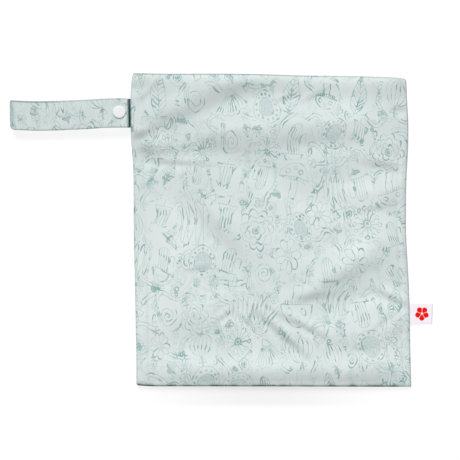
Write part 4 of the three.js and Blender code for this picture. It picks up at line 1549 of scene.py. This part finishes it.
def make_tab():
    """Pull tab that lies on edge in the mouth, with a slot in its free end."""
    high = SEAT + SLIDER_HEIGHT
    tab_wide = 0.0032
    tab_long = TAB_LENGTH + TAB_WALL
    middle_z = (SEAT + high) / 2
    points, faces = plate(
        tab_long, tab_wide, tab_wide * 0.45, -TAB_WALL / 2, TAB_WALL / 2, 0.0002, (0.007, 0.0012, -0.0035)
    )
    x, y, z = points.T
    tab_x = SLIDER_X - (SLIDER_LENGTH + TAB_LENGTH - TAB_WALL) / 2
    tab_y = -ZIP_RECESS + TAB_WALL / 2 - FIT_GAP
    points = np.stack([tab_x + x, tab_y - z, middle_z + y], 1)
    piece = mesh_object("zip_tab", zip_placed(points), faces, sharp=40)
    finish_piece(piece, zip_metal, "zip", "zip_closure")


def make_zip():
    for name, side in (("lower", 1), ("upper", -1)):
        make_tape(f"zip_tape_{name}", side)
        make_coil(f"zip_coil_{name}", -side)
    make_slider()
    make_tab()


make_front()
make_back()
make_strap()
make_snap()
make_label()
make_zip()

# Camera and light
VIEW_MIDDLE = (-0.0415, 0.0005)
VIEW_SPAN = 0.460
LENS = 0.100
SENSOR = 0.036
PRINT_LEVEL = 0.009
KEY_FROM = (-0.2, 0.95, 0.7)
KEY_WIDTH = math.radians(24)
KEY_STRENGTH = 2.6
OVERHEAD_POWER = 7
WORLD_STRENGTH = 0.3
OVERHEAD_PLACE = (-0.1, -0.4, 1.5)
OVERHEAD_SIZE = 1.2
FLOOR_HALF = 30
FLOOR_DROP = 0.0001
FLOOR_TONE = 0.25
FLOOR_GLOW = 0.78
# Soft band of shade on the floor below the bag: middle and half of its width, where it ends, and depth
BAND_MIDDLE = -0.0095
BAND_HALF = 0.19
BAND_END = -0.1835
BAND_FADE = 0.0115
BAND_DEPTH = 0.15

camera_data = bpy.data.cameras.new("camera")
camera_data.lens = LENS * 1000
camera_data.sensor_width = SENSOR * 1000
camera = new_object("camera", camera_data)
camera.location = (*VIEW_MIDDLE, PRINT_LEVEL + VIEW_SPAN * LENS / SENSOR)
bpy.context.scene.camera = camera

floor_mesh = bpy.data.meshes.new("floor")
floor_corners = [(x * FLOOR_HALF, y * FLOOR_HALF, 0) for x, y in ((-1, -1), (1, -1), (1, 1), (-1, 1))]
floor_mesh.from_pydata(floor_corners, [], [(0, 1, 2, 3)])
floor = new_object("floor", floor_mesh)
floor_material, floor_tree, floor_shader = new_material("floor", 0.9)
floor_shader.inputs["Base Color"].default_value = (FLOOR_TONE, FLOOR_TONE, FLOOR_TONE, 1)
# The floor's own light makes it as white as the photograph's, with the soft band of shade below the bag
floor_shader.inputs["Emission Color"].default_value = (1, 1, 1, 1)
floor_x, floor_y, _ = own_place(floor_tree)
band_across = fade(abs(floor_x - BAND_MIDDLE), 0.0, BAND_HALF, BAND_DEPTH, 0.0)
band_down = fade(floor_y, BAND_END, BAND_END + BAND_FADE) * fade(floor_y, -BAND_FADE, 0.0, 1.0, 0.0)
feed(floor_tree, [floor_shader.inputs["Emission Strength"]], [FLOOR_GLOW - band_across * band_down])
floor_mesh.materials.append(floor_material)
floor.location.z = -FLOOR_DROP

overhead_data = bpy.data.lights.new("overhead", "AREA")
overhead_data.shape = "SQUARE"
overhead_data.size = OVERHEAD_SIZE
overhead_data.energy = OVERHEAD_POWER
overhead = new_object("overhead", overhead_data)
overhead.location = OVERHEAD_PLACE
overhead.rotation_euler = (-Vector(OVERHEAD_PLACE)).to_track_quat("-Z", "Y").to_euler()
key_data = bpy.data.lights.new("key", "SUN")
key_data.energy = KEY_STRENGTH
key_data.angle = KEY_WIDTH
key = new_object("key", key_data)
key.rotation_euler = Vector(KEY_FROM).to_track_quat("Z", "Y").to_euler()

world = bpy.data.worlds.new("world")
world.use_nodes = True
world.node_tree.nodes["Background"].inputs["Color"].default_value = (1, 1, 1, 1)
world.node_tree.nodes["Background"].inputs["Strength"].default_value = WORLD_STRENGTH
bpy.context.scene.world = world
bpy.context.scene.view_settings.view_transform = "Standard"
